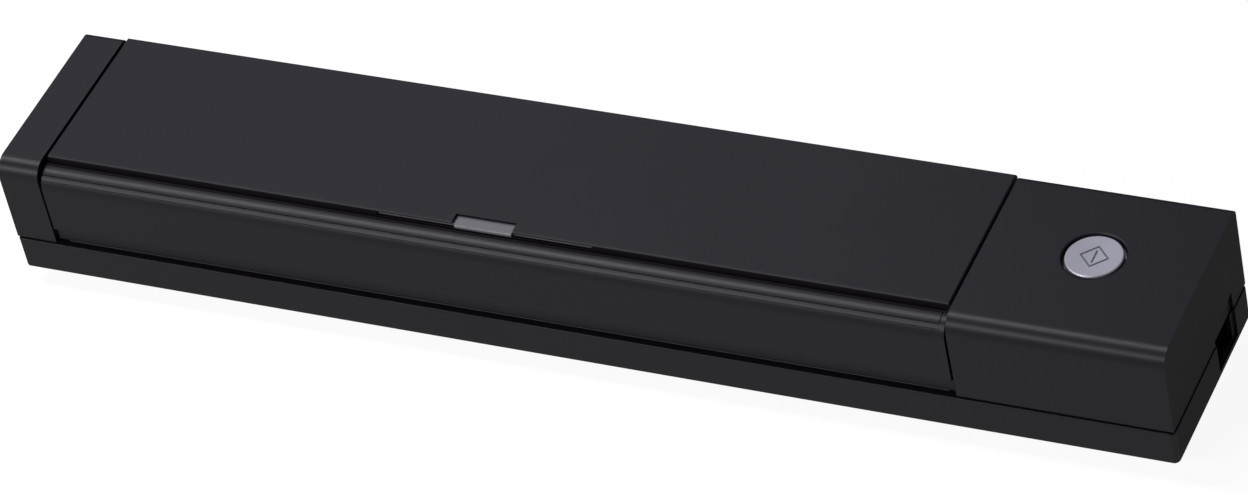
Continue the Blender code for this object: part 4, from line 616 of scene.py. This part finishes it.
def port_recess(details, outer):
    front, rear = port_span(details)
    front -= details.recess_margin
    rear += details.recess_rear
    bottom = details.port_bottom - details.recess_margin
    top = details.recess_top
    shoulder = front + details.recess_rear
    fall = (shoulder - front) * 2
    corner = RECESS_ROUND
    outline = [(front, bottom, corner), (rear, bottom, corner), (rear, top, corner),
               (shoulder, top - details.recess_margin, 0), (front, top - fall, corner)]
    return prism(rounded_outline(outline), outer - details.recess_depth, outer + OVERRUN)


# Lower casing
def lower_casing(shells, details):
    bm = block((BASE_LOW.x, BASE_LOW.y, shells.rim_height), (BASE_HIGH.x, BASE_HIGH.y, SEAM_HEIGHT))
    floor = [f for f in bm.faces if f.normal.z < -0.5]
    grown = bmesh.ops.extrude_face_region(bm, geom=floor)
    bmesh.ops.delete(bm, geom=floor, context="FACES_ONLY")
    for vert in [item for item in grown["geom"] if isinstance(item, bmesh.types.BMVert)]:
        vert.co.z = BASE_LOW.z
        vert.co.x -= shells.under_inset * (1 if vert.co.x > 0 else -1)
        vert.co.y += shells.under_inset * (1 if vert.co.y < 0 else -1)
    upright = [e for e in bm.edges if abs(e.verts[0].co.z - e.verts[1].co.z) > MERGE]
    round_edges(bm, upright, shells.corner_round, segments=6)
    round_edges(bm, edges_in_plane(bm, 2, shells.rim_height), shells.corner_round / 2, segments=3)
    round_edges(bm, edges_in_plane(bm, 2, BASE_LOW.z), shells.edge_round, segments=2)
    round_edges(bm, edges_in_plane(bm, 2, SEAM_HEIGHT), shells.seam_bevel, segments=2)
    bmesh.ops.recalc_face_normals(bm, faces=bm.faces)
    casing = as_object("lower_casing_shell", bm)

    wall = shells.casing_wall
    hollow = block((BASE_LOW.x + wall, BASE_LOW.y + wall, shells.rim_height + wall / 2),
                   (BASE_HIGH.x - wall, BASE_HIGH.y - wall, SEAM_HEIGHT + OVERRUN))
    reshape(casing, hollow)
    inset = shells.under_inset
    well = block((BASE_LOW.x + inset, BASE_LOW.y + inset, BASE_LOW.z + wall),
                 (BASE_HIGH.x - inset, BASE_HIGH.y - inset, shells.rim_height + wall))
    reshape(casing, well)
    front, rear = port_span(details)
    reshape(casing, block((BASE_HIGH.x - wall - OVERRUN, front, details.port_bottom),
                          (BASE_HIGH.x + OVERRUN, rear, SEAM_HEIGHT + OVERRUN)))
    reshape(casing, port_recess(details, BASE_HIGH.x))
    low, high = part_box("auto_start_slider")
    knob_start = low.x + SLIDER_SIDE
    knob_width = high.x - low.x - 2 * SLIDER_SIDE
    slot_low = (knob_start - FIT_GAP, BASE_HIGH.y - wall - OVERRUN, low.z + SLIDER_RISE - FIT_GAP)
    slot_high = (knob_start + 2 * knob_width + FIT_GAP, BASE_HIGH.y + OVERRUN,
                 high.z - SLIDER_RISE + FIT_GAP)
    reshape(casing, block(slot_low, slot_high))
    for corner in CORNERS:
        low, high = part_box(corner + "_foot")
        reshape(casing, block((low.x - FIT_GAP, low.y - FIT_GAP, -OVERRUN),
                              (high.x + FIT_GAP, high.y + FIT_GAP, high.z + FIT_GAP)))
        low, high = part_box(corner + "_case_screw")
        middle = (low + high) / 2
        head = (high.x - low.x) / 2 + FIT_GAP
        reshape(casing, rod((middle.x, middle.y), head, -OVERRUN, BASE_LOW.z + COUNTERBORE, "z"))
    finish_piece(casing, "root", FINISHES["casing"], ["base_casing"],
                 edge=shells.fine_edge)


# End blocks of the upper casing
def block_outline(shells):
    return rounded_outline([
        (UPPER_FRONT, UPPER_BOTTOM, shells.edge_round),
        (UPPER_REAR, UPPER_BOTTOM, shells.edge_round),
        (UPPER_REAR, BODY_TOP, shells.rear_round),
        (UPPER_FRONT, BODY_TOP, shells.front_round),
    ])


def block_space(shells):
    """The outline inside the walls of a block, open at its foot."""
    wall = shells.block_wall
    return rounded_outline([
        (UPPER_FRONT + wall, UPPER_BOTTOM - OVERRUN, 0),
        (UPPER_REAR - wall, UPPER_BOTTOM - OVERRUN, 0),
        (UPPER_REAR - wall, BODY_TOP - wall, max(shells.rear_round - wall, FIT_GAP)),
        (UPPER_FRONT + wall, BODY_TOP - wall, shells.front_round - wall),
    ])


def button_well(shells, details):
    """The cutter for the button's round well, whose upper edge is rounded."""
    radius = BUTTON_RADIUS + details.well_gap
    lip = details.well_round
    below = BODY_TOP - shells.block_wall - OVERRUN
    profile = [(below, 0), (below, radius)]
    profile += [(BODY_TOP - lip + lip * sin(a), radius + lip * (1 - cos(a))) for a in quarter(5)]
    profile += [(BODY_TOP + OVERRUN, radius + lip), (BODY_TOP + OVERRUN, 0)]
    return turned(profile, (BUTTON_CENTRE.x, BUTTON_CENTRE.y, 0), (0, 0, 1))


def end_block(name, node, seam, end, shells, details):
    toward = 1 if end > seam else -1
    bm = prism(block_outline(shells), seam, end)
    above_foot = UPPER_BOTTOM + FOOT_BAND
    outer = [e for e in edges_in_plane(bm, 0, end) if max(v.co.z for v in e.verts) > above_foot]
    round_edges(bm, outer, shells.end_round, segments=5)
    round_edges(bm, edges_in_plane(bm, 0, seam), shells.edge_round / 2, segments=2)
    shell = as_object(name, bm)
    wall = shells.block_wall
    reshape(shell, prism(block_space(shells), seam + toward * wall, end - toward * wall))
    if toward > 0:
        reshape(shell, button_well(shells, details))
        reshape(shell, port_recess(details, end))
        for node_name in ("feed_shaft", "eject_shaft"):
            low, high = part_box(node_name)
            hole = ((low.y + high.y) / 2, (low.z + high.z) / 2)
            reshape(shell, rod(hole, (high.z - low.z) / 2 + FIT_GAP, seam - OVERRUN, seam + wall + OVERRUN))
    finish_piece(shell, "root", FINISHES["casing"], [node])


# Front cover and its nose strip
def nose_centre(shells):
    """The middle of the nose's rounding, as (Y, Z)."""
    return Vector((UPPER_FRONT + shells.front_round, COVER_HIGH.z - shells.front_round))


def nose_points(shells, start, end, depth=0.0):
    """Points along the nose, by the angle from straight up towards the front."""
    return arc_points(nose_centre(shells), shells.front_round - depth, pi / 2 + start, end - start)


def front_cover(shells):
    cover = copy_of_node("front_cover", "_shell")
    nose = nose_centre(shells)
    for turn in (shells.strip_angle, shells.groove_angle):
        spot = (nose.x - shells.front_round * sin(turn), nose.y + shells.front_round * cos(turn))
        reshape(cover, rod(spot, shells.groove_radius, COVER_LOW.x - OVERRUN, STRIP_HIGH.x))
    finish_piece(cover, "cover", FINISHES["casing"], ["front_cover"],
                 edge=shells.fine_edge)


def nose_strip(shells):
    gap = STRIP_GAP / shells.front_round
    reach = shells.strip_angle - gap
    outline = nose_points(shells, gap, reach)
    outline += reversed(nose_points(shells, gap, reach, STRIP_THICKNESS))
    strip = as_object("nose_strip_shell", prism(outline, STRIP_LOW.x, STRIP_HIGH.x))
    finish_piece(strip, "cover", FINISHES["casing"], ["nose_strip"],
                 edge=shells.plate_edge)


# Feed tray and its extension
def feed_tray(shells):
    tray = copy_of_node("feed_tray", "_shell")
    finish_piece(tray, "tray", FINISHES["casing"], ["feed_tray"],
                 edge=shells.plate_edge)


def tray_extension(shells):
    plate = copy_of_node("tray_extension", "_plate")
    finish_piece(plate, "extension", FINISHES["tab"], ["tray_extension"],
                 edge=shells.plate_edge)


# Start button with its symbol
def diamond(half):
    return [(BUTTON_CENTRE.x + half * cos(a), BUTTON_CENTRE.y + half * sin(a))
            for a in [pi / 2 * i for i in range(4)]]


def start_button(details):
    top = BUTTON_HIGH.z
    rim = details.button_rim
    rounding = rim * RIM_SHARE
    flange = (BUTTON_HIGH.x - BUTTON_LOW.x) / 2
    profile = [(BUTTON_LOW.z, 0), (BUTTON_LOW.z, STEM_RADIUS),
               (top - FLANGE_DEPTH, STEM_RADIUS), (top - FLANGE_DEPTH, flange),
               (top - CAP_DEPTH, flange), (top - CAP_DEPTH, BUTTON_RADIUS)]
    profile += [(top - rounding + rounding * sin(a), BUTTON_RADIUS - rounding + rounding * cos(a))
                for a in quarter(6)]
    dish_radius = BUTTON_RADIUS - rounding - rim / 2
    for i in range(1, DISH_RINGS + 1):
        share = i / DISH_RINGS
        profile.append((top - details.button_dish * sin(share * pi / 2), dish_radius * (1 - share)))
    bm = turned(profile, (BUTTON_CENTRE.x, BUTTON_CENTRE.y, 0), (0, 0, 1), BUTTON_STEPS)
    cap = as_object("start_button_cap", bm)
    finish_piece(cap, "button", FINISHES["silver"], ["start_button"])


def start_symbol(details):
    """A diamond with a bar, inlaid in the button's dish."""
    level = BUTTON_HIGH.z - details.button_dish * INLAY_SHARE
    proud = level + details.button_dish
    half = details.symbol_half
    line = details.symbol_line
    slash = details.symbol_slash / 2
    symbol = as_object("start_symbol", prism(diamond(half), level, proud, "z"))
    reshape(symbol, prism(diamond(half - line * sqrt(2)), level - OVERRUN, level + OVERRUN, "z"))
    bar = block((BUTTON_CENTRE.x - line / 2, BUTTON_CENTRE.y - slash, level),
                (BUTTON_CENTRE.x + line / 2, BUTTON_CENTRE.y + slash, proud))
    reshape(symbol, bar, "UNION")
    finish_piece(symbol, "button", FINISHES["symbol"])


# Rubber feet
def feet(shells, details):
    for corner in CORNERS:
        node = corner + "_foot"
        low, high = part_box(node)
        bm = block(low, high)
        upright = [e for e in bm.edges if abs(e.verts[0].co.z - e.verts[1].co.z) > MERGE]
        round_edges(bm, upright, details.foot_round, segments=5)
        round_edges(bm, edges_in_plane(bm, 2, low.z), shells.edge_round, segments=3)
        pad = as_object(node + "_pad", bm)
        finish_piece(pad, "root", FINISHES["rubber"], [node])


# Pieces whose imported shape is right: merged, smoothed and given their edges and finish
INNER_PIECES = {
    "inner": ("left_side_plate", "right_side_plate", "lower_paper_guide", "front_inner_guide",
              "rear_image_sensor", "front_image_sensor", "left_document_guide", "right_document_guide",
              "start_switch", "auto_start_switch"),
    "casing": ("rear_cover", "auto_start_slider"),
    "glass": ("rear_sensor_glass", "front_sensor_glass"),
    "rubber": ("separation_pad", "feed_roller", "left_eject_roller", "right_eject_roller"),
    "acetal": ("left_pinch_roller", "right_pinch_roller", "left_feed_bush", "left_eject_bush",
               "right_feed_bush", "right_eject_bush", "feed_gear", "eject_gear", "idler_gear",
               "compound_gear", "guide_pinion"),
    "shaft": ("motor_pinion", "drive_motor", "feed_shaft", "eject_shaft", "pinch_shaft",
              "left_tray_hinge_pin", "right_tray_hinge_pin", "left_cover_hinge_pin",
              "right_cover_hinge_pin", "left_front_case_screw", "left_rear_case_screw",
              "right_front_case_screw", "right_rear_case_screw"),
    "sheet": ("gear_bracket", "port_connector"),
    "board": ("main_circuit_board", "button_board"),
}
EDGED_FINISHES = ("inner", "casing", "sheet", "board")


def inner_pieces(shells):
    for finish, nodes in INNER_PIECES.items():
        edge = shells.inner_edge if finish in EDGED_FINISHES else 0.0
        for node in nodes:
            body = frame["nodes"][node]["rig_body"]
            finish_piece(copy_of_node(node), body, FINISHES[finish], [node], edge=edge)


# Floor, lights and camera
def camera_axes(stage):
    back = Vector((sin(stage.azimuth) * cos(stage.elevation), -cos(stage.azimuth) * cos(stage.elevation),
                   sin(stage.elevation)))
    level = Vector((cos(stage.azimuth), sin(stage.azimuth), 0))
    up = back.cross(level)
    right = level * cos(stage.roll) + up * sin(stage.roll)
    return right, back.cross(right), back


def make_camera(stage):
    right, up, back = camera_axes(stage)
    data = bpy.data.cameras.new("photo_camera")
    data.lens = stage.lens
    data.sensor_width = FRAME_WIDTH
    data.sensor_fit = "HORIZONTAL"
    data.clip_start = CLIP_START
    data.clip_end = CLIP_END
    camera = bpy.data.objects.new("photo_camera", data)
    place = Vector((stage.target_x, 0, stage.target_z)) + back * stage.distance
    turn = Matrix((right, up, back)).transposed()
    camera.matrix_world = Matrix.Translation(place) @ turn.to_4x4()
    bpy.context.scene.collection.objects.link(camera)
    bpy.context.scene.camera = camera


def area_light(name, light_plan, power):
    place, size, tint = light_plan
    data = bpy.data.lights.new(name, "AREA")
    data.shape = "RECTANGLE"
    data.size = size[0]
    data.size_y = size[1]
    data.energy = power
    data.color = tint
    light = bpy.data.objects.new(name, data)
    away = (Vector(place) - Vector(LIGHT_AIM)).normalized()
    side = Vector((1, 0, 0))
    side = (side - away * side.dot(away)).normalized()
    turn = Matrix((side, away.cross(side), away)).transposed()
    light.matrix_world = Matrix.Translation(Vector(place)) @ turn.to_4x4()
    bpy.context.scene.collection.objects.link(light)


def make_floor(stage):
    bm = bmesh.new()
    bmesh.ops.create_grid(bm, x_segments=1, y_segments=1, size=stage.floor_size / 2)
    floor = as_object("floor", bm)
    graph = Graph("floor_paper")
    fibres = graph.noise(size=0.004, detail=3.0)
    lit = graph.node("ShaderNodeBsdfDiffuse", None, {
        "Color": graph.mix(fibres, shade(stage.floor_colour, 0.99), shade(stage.floor_colour, 1.01)),
    })
    white = graph.node("ShaderNodeEmission", None, {"Color": (1.0, 1.0, 1.0), "Strength": 1.0})
    rays = [graph.node("ShaderNodeLightPath", output=name)
            for name in ("Is Camera Ray", "Is Glossy Ray", "Is Transmission Ray")]
    share = (rays[0] + rays[1] + rays[2]) * stage.floor_glow
    graph.surface(graph.node("ShaderNodeMixShader", None, {0: share, 1: lit, 2: white}))
    floor.data.materials.append(graph.material)


def make_world(stage):
    world = bpy.data.worlds.new("studio")
    world.use_nodes = True
    background = world.node_tree.nodes["Background"]
    background.inputs["Color"].default_value = AMBIENT_TINT
    background.inputs["Strength"].default_value = stage.ambient
    bpy.context.scene.world = world


def make_stage(stage):
    bpy.context.scene.view_settings.view_transform = "Standard"
    make_camera(stage)
    make_floor(stage)
    make_world(stage)
    area_light("overhead", OVERHEAD_LIGHT, stage.overhead)
    area_light("front", FRONT_LIGHT, stage.front)
    area_light("rear", REAR_LIGHT, stage.rear)


# Operators, one for each group of pieces
def settings_of(context):
    return context.scene.scanner_shells, context.scene.scanner_details


class SCANNER_OT_finishes(bpy.types.Operator):
    """Make the scanner's finishes"""
    bl_idname = "scanner.finishes"
    bl_label = "Finishes"

    def execute(self, context):
        make_finishes(context.scene.scanner_finish)
        return {"FINISHED"}


class SCANNER_OT_lower_casing(bpy.types.Operator):
    """Build the lower casing"""
    bl_idname = "scanner.lower_casing"
    bl_label = "Lower casing"

    def execute(self, context):
        lower_casing(*settings_of(context))
        return {"FINISHED"}


class SCANNER_OT_end_blocks(bpy.types.Operator):
    """Build the left and right blocks of the upper casing"""
    bl_idname = "scanner.end_blocks"
    bl_label = "End blocks"

    def execute(self, context):
        settings = settings_of(context)
        end_block("left_block_shell", "left_end_block", LEFT_HIGH.x, LEFT_LOW.x, *settings)
        end_block("right_block_shell", "right_block_cover", RIGHT_LOW.x, RIGHT_HIGH.x, *settings)
        return {"FINISHED"}


class SCANNER_OT_front_cover(bpy.types.Operator):
    """Build the front cover and its nose strip"""
    bl_idname = "scanner.front_cover"
    bl_label = "Front cover"

    def execute(self, context):
        front_cover(context.scene.scanner_shells)
        nose_strip(context.scene.scanner_shells)
        return {"FINISHED"}


class SCANNER_OT_feed_tray(bpy.types.Operator):
    """Build the feed tray and its pull-out extension"""
    bl_idname = "scanner.feed_tray"
    bl_label = "Feed tray"

    def execute(self, context):
        feed_tray(context.scene.scanner_shells)
        tray_extension(context.scene.scanner_shells)
        return {"FINISHED"}


class SCANNER_OT_start_button(bpy.types.Operator):
    """Build the start button and its symbol"""
    bl_idname = "scanner.start_button"
    bl_label = "Start button"

    def execute(self, context):
        start_button(context.scene.scanner_details)
        start_symbol(context.scene.scanner_details)
        return {"FINISHED"}


class SCANNER_OT_feet(bpy.types.Operator):
    """Build the rubber feet"""
    bl_idname = "scanner.feet"
    bl_label = "Feet"

    def execute(self, context):
        feet(*settings_of(context))
        return {"FINISHED"}


class SCANNER_OT_inner_pieces(bpy.types.Operator):
    """Finish the frame, rollers, gears, boards and pins"""
    bl_idname = "scanner.inner_pieces"
    bl_label = "Inner pieces"

    def execute(self, context):
        inner_pieces(context.scene.scanner_shells)
        return {"FINISHED"}


class SCANNER_OT_stage(bpy.types.Operator):
    """Set up the floor, the lights and the camera"""
    bl_idname = "scanner.stage"
    bl_label = "Photo stage"

    def execute(self, context):
        make_stage(context.scene.scanner_stage)
        return {"FINISHED"}


OPERATORS = (
    SCANNER_OT_finishes, SCANNER_OT_lower_casing, SCANNER_OT_end_blocks, SCANNER_OT_front_cover,
    SCANNER_OT_feed_tray, SCANNER_OT_start_button, SCANNER_OT_feet, SCANNER_OT_inner_pieces,
    SCANNER_OT_stage,
)
GROUPS = {"scanner_shells": ScannerShells, "scanner_details": ScannerDetails,
          "scanner_finish": ScannerFinish, "scanner_stage": ScannerStage}


class SCANNER_PT_panel(bpy.types.Panel):
    """The scanner's operators and settings"""
    bl_idname = "SCANNER_PT_panel"
    bl_label = "Document scanner"
    bl_space_type = "VIEW_3D"
    bl_region_type = "UI"
    bl_category = "Scanner"

    def draw(self, context):
        for operator in OPERATORS:
            self.layout.operator(operator.bl_idname)
        for name, group in GROUPS.items():
            box = self.layout.box()
            for setting in group.__annotations__:
                box.prop(getattr(context.scene, name), setting)


def register():
    for group in GROUPS.values():
        bpy.utils.register_class(group)
    for operator in OPERATORS:
        bpy.utils.register_class(operator)
    bpy.utils.register_class(SCANNER_PT_panel)
    for name, group in GROUPS.items():
        setattr(bpy.types.Scene, name, PointerProperty(type=group))


def unregister():
    for name in GROUPS:
        delattr(bpy.types.Scene, name)
    bpy.utils.unregister_class(SCANNER_PT_panel)
    for made in (*reversed(OPERATORS), *GROUPS.values()):
        bpy.utils.unregister_class(made)


def main():
    register()
    bpy.ops.scanner.finishes()
    bpy.ops.scanner.lower_casing()
    bpy.ops.scanner.end_blocks()
    bpy.ops.scanner.front_cover()
    bpy.ops.scanner.feed_tray()
    bpy.ops.scanner.start_button()
    bpy.ops.scanner.feet()
    bpy.ops.scanner.inner_pieces()
    bpy.ops.scanner.stage()


if __name__ == "__main__":
    main()
